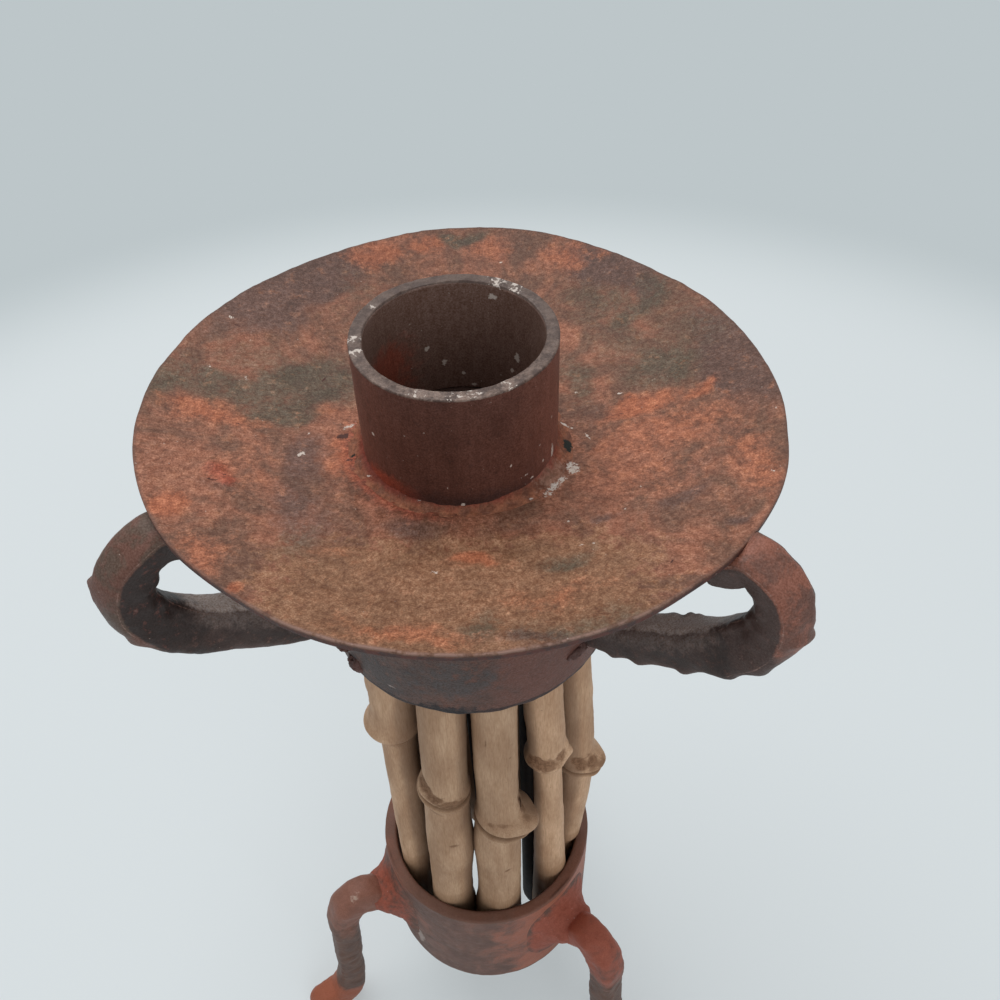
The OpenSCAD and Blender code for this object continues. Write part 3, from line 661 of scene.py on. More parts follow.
pipe = {
    "wall": 2.65,
    "columns": 320,
    "rows": 96,
    "corner": 0.45,
    # strength of the soot at the front, and direction, height and half size of a pale fleck
    "collar": {"soot": 1.0, "at": -121, "height": 3.2, "size": [0.7, 0.35], "cool": 1.0},
    "lower_ring": {"soot": 0.0, "at": -135, "height": 8.3, "size": [1.5, 4.5], "cool": 0.0},
}


def makePipe(name, low, high, material, node, seed):
    grid = wallGrid(pipeRadius, pipeRadius - pipe["wall"], low, high, pipe["corner"], pipe["rows"],
                    pipe["columns"], 0.09, seed)
    edge = 0.3 * roughField(grid * [1, 1, 0.3], 3.5, seed + 2, 3)
    grid[..., 2] += edge * eased(grid[..., 2], low + 4, low)
    angle = np.degrees(np.arctan2(grid[..., 1], grid[..., 0]))
    outward = np.hypot(grid[..., 0], grid[..., 1])
    height, marks = grid[..., 2], pipe[node]
    inside = eased(outward, pipeRadius - pipe["wall"] * 0.5, pipeRadius - pipe["wall"] * 0.9)
    red = 1.15 * hump(angle + 45, 38) + 0.8 * hump(np.abs(angle) - 162, 26)
    fields = {"red": [red], "inside": [inside],
              "edge": [eased(height, high - 0.9, high - 0.3) + eased(height, low + 1.5, low + 0.4)],
              "soot": [marks["soot"] * hump(np.hypot((angle + 98) / 14, (height - low - 0.8) / 1.9), 1)],
              "cool": [marks["cool"] * (hump(np.hypot((angle + 128) / 14, (height - low - 5) / 5), 1)
                                        + hump(np.hypot((angle + 94) / 17, (height - low - 9) / 4.5), 1))],
              "pale": [hump(np.hypot((angle - marks["at"]) * 0.4 / marks["size"][0],
                                     (height - low - marks["height"]) / marks["size"][1]), 1)]}
    return addPiece(name, [grid], material, [node], fields, closedRows=True)


def pipeMaterial(name, first, second, rust, edgeTintAndShade, blotch, fine, relief):
    # pipe steel in two close browns, with blotches and redder where the field says, painted shade on its inner wall,
    # and a tint at its top and lower edges: on the collar that tint is dark, painted shade under the pan and a dark
    # line along the lower edge.
    # blotch and fine are the strengths of the blotches and of the grit
    material, tree, shader, place = startMaterial(name, 0.5, 0.3)
    slow = grain(tree, place, 6, 6, 0.6, warp=0.5)
    middle = grain(tree, place, 1.6, 5, 0.65)
    grit = grain(tree, place, 0.28, 3, 0.6)
    colour = blend(tree, between(tree, slow, 0.36, 0.64), first, second)
    colour = blend(tree, product(tree, between(tree, middle, 0.52, 0.72), 0.5 * blotch), colour, paint(76, 62, 58))
    colour = blend(tree, product(tree, ragged(tree, field(tree, "red"), slow, 1.0, 0.2, 0.95), 0.85), colour, rust)
    colour = blend(tree, product(tree, ragged(tree, field(tree, "cool"), middle, 0.9, 0.2, 0.9), 0.7), colour, paint(70, 66, 65))
    colour = blend(tree, product(tree, between(tree, middle, 0.47, 0.3), 0.35 * blotch), colour, paint(130, 82, 66))
    # painted shade: the inner wall of the pipe is darkened
    colour = blend(tree, product(tree, field(tree, "inside"), 0.6), colour, paint(58, 44, 39))
    # edge tint: on the collar a dark band, painted shade under the pan and a dark line along its lower edge
    colour = blend(tree, product(tree, ragged(tree, field(tree, "edge"), middle, 0.6), 0.8), colour, edgeTintAndShade)
    colour = shaded(tree, colour, middle, 0.14 * blotch, 0.36, 0.64)
    colour = shaded(tree, colour, grit, fine)
    colour = blend(tree, product(tree, ragged(tree, field(tree, "soot"), middle, 1.0, 0.3, 0.8), 0.9), colour, paint(30, 24, 26))
    salt = between(tree, grain(tree, place, 0.45, 2, 0.5), 0.76, 0.8)
    pale = total(tree, ragged(tree, field(tree, "pale"), middle, 1.0, 0.4, 0.75), product(tree, salt, 0.5))
    colour = blend(tree, product(tree, pale, 0.8), colour, paint(176, 160, 152))
    tree.links.new(colour, shader.inputs["Base Color"])
    tree.links.new(ranged(tree, middle, 0.3, 0.7, 0.42, 0.62), shader.inputs["Roughness"])
    addBump(tree, shader, total(tree, slow, product(tree, middle, 0.7), product(tree, grit, 0.4)), relief)
    return material


# Bent bars: the arms and the legs

arm = {
    "turns": [-154.75, -34.75, 85.25],
    "width": 6.3,
    "rootHeight": -25.8,
    # reach from the axis, height and thickness along each centreline, from the collar out and up
    "stations": [
        [[20.45, -26.4, 5.3], [28.9, -24.3, 6.6], [33.8, -21.6, 8.2], [36.9, -19.7, 8.7], [41.8, -17.6, 8.2],
         [46.2, -14.1, 7.9], [48.7, -9.9, 7.5], [49.1, -6.2, 7.0], [48.2, -3.0, 6.6], [46.3, -0.6, 6.2], [43.8, 0.9, 5.8]],
        [[20.45, -26.6, 5.9], [28.9, -25.0, 7.0], [34.0, -22.5, 7.6], [39.0, -19.8, 7.7], [43.8, -16.5, 7.8],
         [47.2, -12.8, 7.8], [49.0, -8.8, 7.5], [49.3, -5.0, 6.9], [48.3, -1.8, 6.4], [46.1, 0.6, 6.0], [43.5, 1.5, 5.8]],
        [[20.45, -26.4, 5.3], [28.9, -24.4, 6.0], [33.8, -21.9, 6.8], [39.0, -18.9, 7.2], [43.5, -15.5, 7.5],
         [46.5, -11.6, 7.5], [47.9, -8.0, 7.3], [48.0, -4.6, 6.8], [46.8, -1.8, 6.4], [45.0, 0.3, 6.0], [43.2, 1.2, 5.8]]],
    # reach of the last two points, which run in under the pan, and their thickness
    "lip": [41.5, 38.5],
    "lipThickness": 5.8,
    # how far each rise is turned about its own length, in degrees
    "twist": [24, -26, 24],
    # bumps: reach, side, height, radius and how far each stands out
    "bumps": [
        [[43.8, 2.5, -5, 1.2, 0.6], [44.6, 2.5, -8.5, 1.3, 0.4], [53.5, -3.2, -3.6, 0.9, 0.8], [53.5, -3.2, -5.4, 1.6, 0.35],
         [52, 3, -14, 1.3, 0.5], [36, -3, -17, 0.8, 0.5], [47, -3, 0, 0.9, 0.7], [41, 3, 4, 1.2, 0.6],
         [46.5, 3.2, -5, 1.0, 0.6], [46.5, 3.2, -8, 1.0, 0.5], [45.8, 3.2, -11, 1.1, 0.4]],
        [[28.1, -3, -28, 0.9, 0.4], [32.5, -3, -27.0, 1.2, 0.55], [39.4, -3, -23.7, 1.4, 0.6], [45.4, -3, -19.7, 1.7, 0.7],
         [49.9, -3, -15.5, 1.6, 0.6], [36.8, 2.6, -17, 0.8, 0.6], [38.2, 2.6, -16, 0.7, 0.4], [34.5, 2.6, -18, 1.0, 0.4],
         [44.8, -2, -7.5, 0.9, 0.5], [43.0, -2, -9.8, 1.0, 0.5], [51.5, 2, -2, 0.9, 0.25], [53, 2, -6, 0.9, 0.25],
         [46.2, -3.2, -2, 1.0, 0.5], [47.0, -3.2, -4.5, 1.0, 0.6], [47.2, -3.2, -7.5, 1.0, 0.6], [46.6, -3.2, -10, 1.0, 0.5],
         [53, -2.4, -7.2, 1.0, 0.5], [53, -0.8, -7.6, 1.0, 0.5], [53, 1, -8.0, 1.0, 0.5], [53, 2.6, -8.6, 1.0, 0.5],
         [36, -3, -20, 1.2, 0.4]],
        [[32.5, 0, -26.5, 1.2, 0.8], [38.5, 0, -13.5, 1.0, 0.7], [50, 0, -13, 1.2, 0.7]]],
}

leg = {
    "turns": [-158, -45, 80],
    "width": 7.0,
    "thickness": 6.4,
    "reach": 39.2,
    "toe": 12.4,
    "rootHeight": -133.5,
    "shape": [
        [0, 0.02, 1.35], [0.36, -0.055, 1.05], [0.58, -0.105, 1.28], [0.77, -0.06, 1.2], [0.88, 0.07, 1.06],
        [0.91, 0.28, 0.98], [0.96, 0.5, 0.98], [1, 0.71, 1.02], [1.13, 0.875, 1.25]],
    "bumps": [
        [[36, 2, -129, 1.4, 0.4], [41, 3, -150, 1.0, 0.35]],
        [[33, -3, -126, 1.4, 0.5], [40, -2, -140, 1.0, 0.4]],
        [[41, 0, -150, 1.1, 0.4]]],
    # places where the rust is knocked off, and their size
    "chips": [[[-30.2, -14.4, -124], 1.7], [[-23, -10.9, -138.9], 1.6], [[27, -26, -137], 1.4]],
    # weld round the root: where it ends, how far it widens sideways, up and down at the pipe, and the
    # way out over which each falls to about a third
    "sleeve": {"end": 29.5, "aside": [6, 1.8], "up": [9.3, 1.6], "down": [8.5, 1.6]},
}
bars = {"sink": 2.5, "spacing": 0.4, "columns": 80}


def underPan(turn, reach, gap):
    # height that lies a gap below the pan's sheet
    x, y = reach * math.cos(math.radians(turn)), reach * math.sin(math.radians(turn))
    return float(panTop(np.array(x), np.array(y))) - sheetThickness - gap


def armPath(number):
    thick = arm["lipThickness"]
    lip = [[reach, underPan(arm["turns"][number], reach, 0.2 + thick / 2), thick] for reach in arm["lip"]]
    return np.array(arm["stations"][number] + lip)


def legPath():
    rootReach = pipeRadius - bars["sink"]
    drop = leg["rootHeight"] - floorHeight
    points = [[rootReach + (leg["reach"] - rootReach) * out, leg["rootHeight"] - drop * down, leg["thickness"] * thick]
              for out, down, thick in leg["shape"]]
    toe = [[leg["reach"] + leg["toe"] * 0.58, floorHeight + 3, leg["thickness"] * 1.38],
           [leg["reach"] + leg["toe"], floorHeight + 1.2, leg["thickness"] * 1.2]]
    return np.array(points + toe)


def makeBar(path, turn, width, squares, twist, bumps, seed, rough, pipeSpan, endRound):
    # a rounded square section carried along a path: x and y of the section are the cosine and the sine
    # raised to a power below 1, which pulls the circle out towards a square. squares says how square it
    # is on the level stretch and on the rise. The section is turned by twist on the rise, and noise and
    # single bumps push the surface out
    path, way = evenPath(smoothPath(path, 12), bars["spacing"])
    length = way[-1]
    share = (way / length)[:, None]
    step = np.gradient(path[:, :2], axis=0)
    step /= np.linalg.norm(step, axis=1, keepdims=True)
    around = np.linspace(0, 2 * np.pi, bars["columns"], endpoint=False)[None, :]
    power = 2 / (squares[0] + (squares[1] - squares[0]) * eased(share, 0.3, 0.55))
    across = np.sign(np.cos(around)) * np.abs(np.cos(around)) ** power
    upward = np.sign(np.sin(around)) * np.abs(np.sin(around)) ** power
    left = (length - way)[:, None]
    shrink = np.sqrt(np.clip(1 - np.clip(1 - left / endRound, 0, 1) ** 2, 0.004, 1))
    aside, thick = across * width / 2 * shrink, upward * path[:, 2:3] / 2 * shrink
    bend = np.radians(twist) * eased(share, 0.33, 0.6) * (1 - eased(share, 0.86, 1.0))
    aside, thick = aside * np.cos(bend) - thick * np.sin(bend), aside * np.sin(bend) + thick * np.cos(bend)
    grid = np.stack([path[:, 0:1] - step[:, 1:2] * thick, aside, path[:, 1:2] + step[:, 0:1] * thick], -1)
    push = rough * (0.5 * lumps(grid, 4.5, seed) + 0.3 * roughField(grid, 1.8, seed + 3, 3))
    for reach, side, height, radius, stand in bumps:
        nearest = np.argmin(np.linalg.norm(grid - [reach, side, height], axis=-1))
        away = np.linalg.norm(grid - grid.reshape(-1, 3)[nearest], axis=-1)
        push = push + stand * hump(away, radius)
    grid = turned(pushedOut(grid, push * np.minimum(left / 2, 1)), turn)
    outward = np.hypot(grid[..., 0], grid[..., 1])
    near = (grid[..., 2] > pipeSpan[0]) & (grid[..., 2] < pipeSpan[1])
    grow = np.where(near & (outward < pipeRadius + 0.05), (pipeRadius + 0.05) / outward, 1)
    grid[..., :2] *= grow[..., None]
    corner = np.minimum(np.abs(across), np.abs(upward)) * np.sqrt(2)
    return grid, {"ridge": eased(corner, 1.06, 1.2), "share": share + 0 * around, "face": upward}


def makeArms(material):
    for number, node in enumerate(("arm_left", "arm_right", "arm_back")):
        grid, fields = makeBar(armPath(number), arm["turns"][number], arm["width"], (2.7, 3.5), arm["twist"][number],
                               arm["bumps"][number], 61 + 7 * number, 0.35, (collarLow[2], collarHigh[2]), 1.4)
        away = np.hypot(grid[..., 0] - panMiddle[0], grid[..., 1] - panMiddle[1])
        ceiling = panTop(grid[..., 0], grid[..., 1]) - sheetThickness - 0.05
        grid[..., 2] = np.where(away < panRadius - 0.2, np.minimum(grid[..., 2], ceiling), grid[..., 2])
        fields["smooth"] = np.array([[float(node == "arm_right")]])
        addPiece(node.replace("_", ""), [grid], material, [node],
                 {key: [value] for key, value in fields.items()})


def makeLegs(material):
    for number, node in enumerate(("leg_left", "leg_right", "leg_back")):
        grid, fields = makeBar(legPath(), leg["turns"][number], leg["width"], (3.2, 3.2), 0, leg["bumps"][number],
                               91 + 7 * number, 0.5, (ringLow[2], ringHigh[2]), 3.5)
        grid[..., 2] = np.maximum(grid[..., 2], floorHeight)
        fields["chip"] = sum(hump(np.linalg.norm(grid - place, axis=-1), size) for place, size in leg["chips"])
        fields["red"] = np.array([[float(node == "leg_right")]])
        addPiece(node.replace("_", ""), [grid], material, [node],
                 {key: [value] for key, value in fields.items()})


def legSleeve(turn, seed):
    # weld round a leg's root: an oval sleeve a little thicker than the leg, which widens towards the
    # pipe by exponentials, is wrapped on the pipe's wall and sinks into the leg at its far end
    path, sleeve = smoothPath(legPath(), 12), leg["sleeve"]
    r = np.linspace(pipeRadius - 0.4, sleeve["end"], 46)[:, None]
    around = np.linspace(0, 2 * np.pi, 72, endpoint=False)[None, :]
    middle, thick = np.interp(r, path[:, 0], path[:, 1]), np.interp(r, path[:, 0], path[:, 2]) / 2
    over = 0.25 * (1 - eased(r, 26, 29)) - 0.8 * eased(r, sleeve["end"] - 2, sleeve["end"])
    aside, up, down = (size * np.exp((pipeRadius - r) / fall)
                       for size, fall in (sleeve["aside"], sleeve["up"], sleeve["down"]))
    across = np.sign(np.cos(around)) * np.abs(np.cos(around)) ** 0.75 * (leg["width"] / 2 + over + aside)
    upward = np.sign(np.sin(around)) * np.abs(np.sin(around)) ** 0.75
    z = middle + upward * (thick + over + np.where(upward > 0, up, down))
    grid = np.stack([r * np.cos(across / pipeRadius), r * np.sin(across / pipeRadius), z], -1)
    return turned(pushedOut(grid, 0.25 * roughField(grid, 2.5, seed, 3) * eased(r, pipeRadius - 0.2, pipeRadius + 0.6)), turn)


def forgedSteel(name, first, second, shares, roughness):
    # ground shared by the arms and the legs: two browns, then darker and warmer blotches and grit.
    # shares holds how strongly the dark and the warm blotches show
    material, tree, shader, place = startMaterial(name, roughness, 0.3)
    slow = grain(tree, place, 4, 6, 0.65, warp=0.4)
    middle = grain(tree, place, 1.2, 6, 0.7)
    colour = blend(tree, between(tree, slow, 0.36, 0.64), first, second)
    colour = blend(tree, product(tree, between(tree, middle, 0.46, 0.28), shares[0]), colour, paint(44, 36, 36))
    colour = blend(tree, product(tree, between(tree, middle, 0.54, 0.72), shares[1]), colour, paint(128, 76, 60))
    return material, tree, shader, place, slow, middle, colour


def finishSteel(tree, shader, place, slow, middle, colour, ridgeTint, fine):
    # worn ridges, grit, a few pale specks and the relief, laid over an arm's or a leg's own colours
    grit = grain(tree, place, 0.26, 3, 0.6)
    worn = ragged(tree, field(tree, "ridge"), middle, 0.9, 0.5, 0.95)
    colour = blend(tree, product(tree, worn, 0.6), colour, ridgeTint)
    colour = shaded(tree, colour, grit, fine)
    salt = between(tree, grain(tree, place, 0.45, 2, 0.5), 0.76, 0.8)
    colour = blend(tree, product(tree, salt, 0.6), colour, paint(206, 190, 176))
    tree.links.new(colour, shader.inputs["Base Color"])
    tree.links.new(ranged(tree, middle, 0.3, 0.7, 0.42, 0.62), shader.inputs["Roughness"])
    addBump(tree, shader, total(tree, slow, product(tree, middle, 0.6), product(tree, grit, 0.3)), 0.14)


def armMaterial():
    # dark sides, a grey upper face on the level stretch that is partly wear and partly painted light, with a painted
    # highlight along its top, and a warm outer face on the rise
    ground = forgedSteel("arm steel", paint(51, 38, 34), paint(66, 48, 42), (0.3, 0.3), 0.55)
    material, tree, shader, place, slow, middle, colour = ground
    share, face, smooth = field(tree, "share"), field(tree, "face"), field(tree, "smooth")
    rise = ragged(tree, between(tree, share, 0.42, 0.62), slow, 0.5, 0.3, 0.7)
    side = blend(tree, smooth, paint(52, 41, 38), paint(80, 60, 54))
    colour = blend(tree, product(tree, rise, 0.75), colour, side)
    spots = product(tree, between(tree, middle, 0.54, 0.66), ranged(tree, smooth, 0, 1, 0.5, 0.1))
    colour = blend(tree, product(tree, rise, spots), colour, paint(110, 60, 50))
    begin = total(tree, share, product(tree, smooth, -0.08))
    outer = product(tree, between(tree, face, -0.5, -0.95), between(tree, begin, 0.48, 0.6))
    outerTint = blend(tree, smooth, paint(96, 76, 64), paint(146, 92, 74))
    outerTint = blend(tree, between(tree, slow, 0.42, 0.58), outerTint, paint(112, 76, 64))
    colour = blend(tree, product(tree, ragged(tree, outer, middle, 0.3, 0.4, 0.7), 0.85), colour, outerTint)
    lower = product(tree, between(tree, face, -0.3, -0.9), between(tree, share, 0.45, 0.3))
    colour = blend(tree, product(tree, lower, 0.7), colour, paint(98, 72, 66))
    # painted light: the upper face of the level stretch, in shade under the pan, is made a paler grey
    upper = product(tree, between(tree, face, -0.1, 1.0), between(tree, share, 0.62, 0.42))
    colour = blend(tree, product(tree, ragged(tree, upper, middle, 0.9, 0.0, 1.2), 0.5), colour, paint(146, 128, 120))
    # painted highlight along the top of the level stretch
    crestHighlight = product(tree, between(tree, face, 0.8, 1.0), between(tree, share, 0.64, 0.44))
    colour = blend(tree, product(tree, ragged(tree, crestHighlight, middle, 0.8, 0.2, 1.0), 0.65), colour, paint(214, 198, 188))
    finishSteel(tree, shader, place, slow, middle, colour, paint(150, 120, 108), 0.34)
    return material


def legMaterial():
    # red-brown at the root, greyer down the shank, orange at the toe
    ground = forgedSteel("leg rust", paint(88, 64, 54), paint(103, 75, 62), (0.2, 0.3), 0.55)
    material, tree, shader, place, slow, middle, colour = ground
    share = field(tree, "share")
    root = ragged(tree, between(tree, share, 0.5, 0.12), slow, 0.8, 0.25, 0.85)
    rootTint = blend(tree, field(tree, "red"), paint(140, 94, 78), paint(160, 83, 62))
    colour = blend(tree, product(tree, root, 0.85), colour, rootTint)
    colour = shaded(tree, colour, middle, 0.12)
    toe = ragged(tree, between(tree, share, 0.72, 0.85), slow, 0.5, 0.25, 0.75)
    colour = blend(tree, product(tree, toe, 0.85), colour, paint(158, 88, 62))
    bare = ragged(tree, field(tree, "chip"), middle, 1.0, 0.5, 0.85)
    colour = blend(tree, product(tree, bare, 0.6), colour, paint(186, 166, 150))
    finishSteel(tree, shader, place, slow, middle, colour, paint(138, 104, 88), 0.14)
    return material


# Canes

cane = {
    "size": 8.4,
    "firstTurn": -156,
    "clear": 0.1,
    "footHeight": -144.1,
    "topHeight": -2.3,
    # lean of the top and the foot, thickness at the top, below the node and at the foot, depth of the
    # node as a share of what shows, swelling and its side, and how far it is bent aside and outward
    "each": [
        [6, -2, 1.03, 0.80, 0.78, 0.33, 0.13, -1, 0, 0.10], [12, 0, 0.99, 1.02, 1.06, 0.455, 0.05, -1, -0.03, 0.03],
        [6, 3, 0.94, 1.00, 1.20, 0.58, 0.15, 1, 0, 0], [1, 15, 0.84, 0.62, 0.95, 0.422, 0.06, 0, 0.08, 0.05],
        [-1, 6, 0.80, 0.86, 0.88, 0.582, 0.10, 0, 0, 0.22], [4, -3, 0.98, 0.96, 1.00, 0.63, 0.06, 0, 0, 0],
        [-2, 2, 0.95, 1.00, 1.02, 0.24, 0.08, 0, 0.03, 0.05], [1, -2, 1.00, 0.97, 1.00, 0.72, 0.06, 0, 0, 0],
        [-3, 3, 0.93, 0.98, 1.03, 0.46, 0.08, 0, -0.03, 0.04], [4, 0, 0.97, 0.95, 0.98, 0.36, 0.06, 0, 0, 0.08]],
    # how far the foremost five stand to the right at the foot, the node and the top
    "shift": [[-0.5, 0.7, 0.8], [-0.4, 0.5, 0.8], [0, 0.3, 0], [1.2, -0.6, -1.8], [0.8, 1.2, -1.5]],
    # how light each cane is beside the others: partly each cane's own tone, partly painted light and shade that evens
    # out how the lamps reach them
    "tonesAndLight": [1.1, 0.95, 0.93, 1.22, 1.15, 1, 1, 1, 1, 1],
    # slope of each node's ring, and the direction of its high side
    "slope": [[0.7, 60], [1.6, 150], [0.9, 200], [0.6, 30], [1.3, 140],
              [0.5, 90], [0.8, 0], [0.5, 200], [0.7, 300], [0.6, 45]],
    # buds: cane, direction, height from the node, radius and how far each stands out
    "buds": [[0, -170, 4.5, 2.2, 0.5], [1, -160, 1.2, 1.6, 0.5], [1, -15, -22, 9, 0.75], [1, -20, -55, 6, 0.8],
             [2, -18, 2.2, 1.9, 1.2], [2, -30, 0.2, 1.8, 0.7], [2, -25, 6.5, 3.4, 0.8], [2, -5, 9.5, 1.5, -0.6],
             [2, 165, -12, 9, 0.75], [2, 160, -45, 6, 0.8],
             [3, -10, 4.8, 1.1, 0.6], [3, -5, 1.8, 1.0, 0.8], [4, -20, 0.6, 2.2, 1.4], [4, -50, -0.8, 1.4, 0.5],
             [5, 40, 1.0, 1.6, 0.7], [6, 60, 1.5, 1.8, 0.8], [7, 100, 0.5, 1.6, 0.7], [8, 130, 1.2, 1.7, 0.8],
             [9, 160, 0.8, 1.6, 0.7]],
    # scars: cane, direction, height from the node, half width, half height and strength
    "scars": [[1, -150, 3.4, 2.4, 1.6, 1.0], [1, -115, 2.6, 2.2, 1.5, 1.0], [1, -80, 1.6, 2.4, 1.4, 1.0],
              [1, -55, 1.2, 1.8, 1.0, 0.8], [1, -76, -15.5, 1.0, 0.5, 0.7], [1, -120, -3.2, 1.4, 0.5, 0.5],
              [3, -125, 3.2, 2.6, 1.8, 1.0], [3, -85, 3.0, 2.4, 1.7, 0.9], [3, -45, 3.8, 1.8, 1.8, 1.0],
              [4, -85, 3.4, 2.0, 1.8, 1.0], [4, -50, 3.0, 1.6, 2.2, 0.9], [4, -30, 1.6, 1.4, 1.2, 0.7],
              [2, -110, 3.0, 0.7, 0.7, 0.6], [2, -80, 3.4, 1.4, 0.6, 0.5], [2, -12, 6.6, 1.1, 2.4, 1.6],
              [2, -24, 3.4, 0.9, 1.2, 0.6], [2, -112, 32, 0.14, 1.8, 1.3], [2, -70, -16.4, 0.9, 0.6, 0.8],
              [2, -50, 27, 0.4, 0.4, 0.6], [2, -45, 31, 0.5, 0.4, 0.5], [0, -120, -0.4, 3.0, 0.5, 0.5], [6, 90, 0.5, 2.5, 1.2, 0.9],
              [8, 140, 0.4, 2.4, 1.2, 0.9], [5, 30, 0.4, 2.2, 1.0, 0.8], [7, 100, 0.5, 2.2, 1.0, 0.8],
              [9, 160, 0.5, 2.2, 1.1, 0.8]],
}


def makeCane(index, material):
    # a thin round stem: its radius is a straight taper, with a shoulder above the node, a groove at it,
    # a ridge below it, buds and a little noise. Its middle leans, and bends at the node
    topLean, footLean, topSize, lowSize, footSize, depth, swell, side, bendAside, bendOut = cane["each"][index]
    size = cane["size"]
    turn = math.radians(cane["firstTurn"] + 36 * index)
    boreRadius = pipeRadius - pipe["wall"]
    nodeHeight = collarLow[2] - (collarLow[2] - ringHigh[2]) * depth
    seen = index < 5
    columns, rowCount = (76, 330) if seen else (44, 150)
    even = np.linspace(cane["footHeight"], cane["topHeight"], rowCount)
    near = nodeHeight + np.linspace(-4, 5, 46 if seen else 20)
    z = np.sort(np.concatenate([even, near]))[:, None]
    around = np.linspace(0, 2 * np.pi, columns, endpoint=False)[None, :]
    slope, high = cane["slope"][index]
    fromNode = z - nodeHeight - slope * np.cos(around - math.radians(high))
    up = (z - cane["footHeight"]) / (cane["topHeight"] - cane["footHeight"])
    lowTaper = lowSize + (footSize - lowSize) * np.clip((nodeHeight - z) / (nodeHeight - cane["footHeight"]), 0, 1)
    blendUp = eased(fromNode, -1.2, 1.6)
    plain = size / 2 * (lowTaper + (topSize - lowTaper) * blendUp)
    bulge = size * swell * np.exp(-((z - nodeHeight) / (size * 0.3)) ** 2)
    shoulder = 0.42 * hump(fromNode - 1.7, 1.5) * (fromNode > -3)
    groove = 0.42 * hump(fromNode, 0.38)
    ridge = 0.36 * hump(fromNode + 0.95, 0.55)
    radius = plain + bulge + shoulder - groove + ridge
    bend = size * np.where(z > nodeHeight, (collarLow[2] - z) / (collarLow[2] - nodeHeight),
                           (z - ringHigh[2]) / (nodeHeight - ringHigh[2]))
    bend = np.maximum(bend, 0)
    bend = bend - 0.18 * size * eased(bend / size, 0.7, 1.0) * (bend / size)

    def circlePoint(thick, lean):
        reach = boreRadius - cane["clear"] - size * thick / 2
        return reach * np.array([math.cos(turn + math.radians(lean)), math.sin(turn + math.radians(lean))])

    foot, top = circlePoint(footSize, footLean), circlePoint(topSize, topLean)
    out, aside = np.array([math.cos(turn), math.sin(turn)]), np.array([-math.sin(turn), math.cos(turn)])
    middle = foot + (top - foot) * up + aside * (bend * bendAside + bulge * side) + out * bend * bendOut
    if seen:
        middle[:, 0] += np.interp(z[:, 0], [cane["footHeight"], nodeHeight, cane["topHeight"]], cane["shift"][index])
    held = (z >= collarLow[2]) | (z <= ringHigh[2])
    widest = radius.max(axis=1, keepdims=True)
    reach = np.hypot(middle[:, 0:1], middle[:, 1:2])
    limit = np.minimum(1, (boreRadius - 0.05 - widest) / reach)
    middle = middle * np.where(held, limit, 1)
    x = middle[:, 0:1] + radius * np.cos(around)
    y = middle[:, 1:2] + radius * np.sin(around)
    grid = np.stack([x, y, z + 0 * around], -1)
    radius = radius + 0.10 * lumps(grid, 4.2, 120 + index) + 0.03 * roughField(grid, 1.1, 140 + index, 2)
    scar = np.zeros_like(radius)
    for number, direction, height, halfWidth, halfHeight, strength in cane["scars"]:
        if number == index:
            angleAway = np.angle(np.exp(1j * (around - math.radians(direction)))) * size / 2
            away = np.hypot(angleAway / halfWidth, (fromNode - height) / halfHeight)
            away = away + 0.35 * roughField(grid, 1.0, 160 + index, 3)
            scar = np.maximum(scar, strength * eased(away, 1.5, 0.3))
    for number, direction, height, reachBud, stand in cane["buds"]:
        if number == index:
            angleAway = np.angle(np.exp(1j * (around - math.radians(direction)))) * size / 2
            radius = radius + stand * hump(np.hypot(angleAway, fromNode - height), reachBud)
    radius = radius - scar * (0.12 + 0.14 * np.abs(roughField(grid, 0.9, 180 + index, 3)))
    grid[..., 0] = middle[:, 0:1] + radius * np.cos(around)
    grid[..., 1] = middle[:, 1:2] + radius * np.sin(around)
    ends = hump(z - ringHigh[2] + 2, 7) * 0.7 + eased(z, ringHigh[2] + 5, ringHigh[2] - 2)
    # groove: the node's dark ring, partly painted shade below the bulge
    fields = {"scar": [scar], "groove": [hump(fromNode + 0.15, 0.45) + 0.4 * hump(fromNode + 1.6, 0.5)],
              "shade": [ends + 0 * around], "toneAndLight": [np.full((1, 1), cane["tonesAndLight"][index])],
              # painted shade on the sides that face the neighbouring canes
              "flankShade": [eased(np.cos(around - turn), 0.75, -0.1) + 0 * z]}
    return addPiece("cane%d" % (index + 1), [grid], material, ["cane_%d" % (index + 1)], fields)


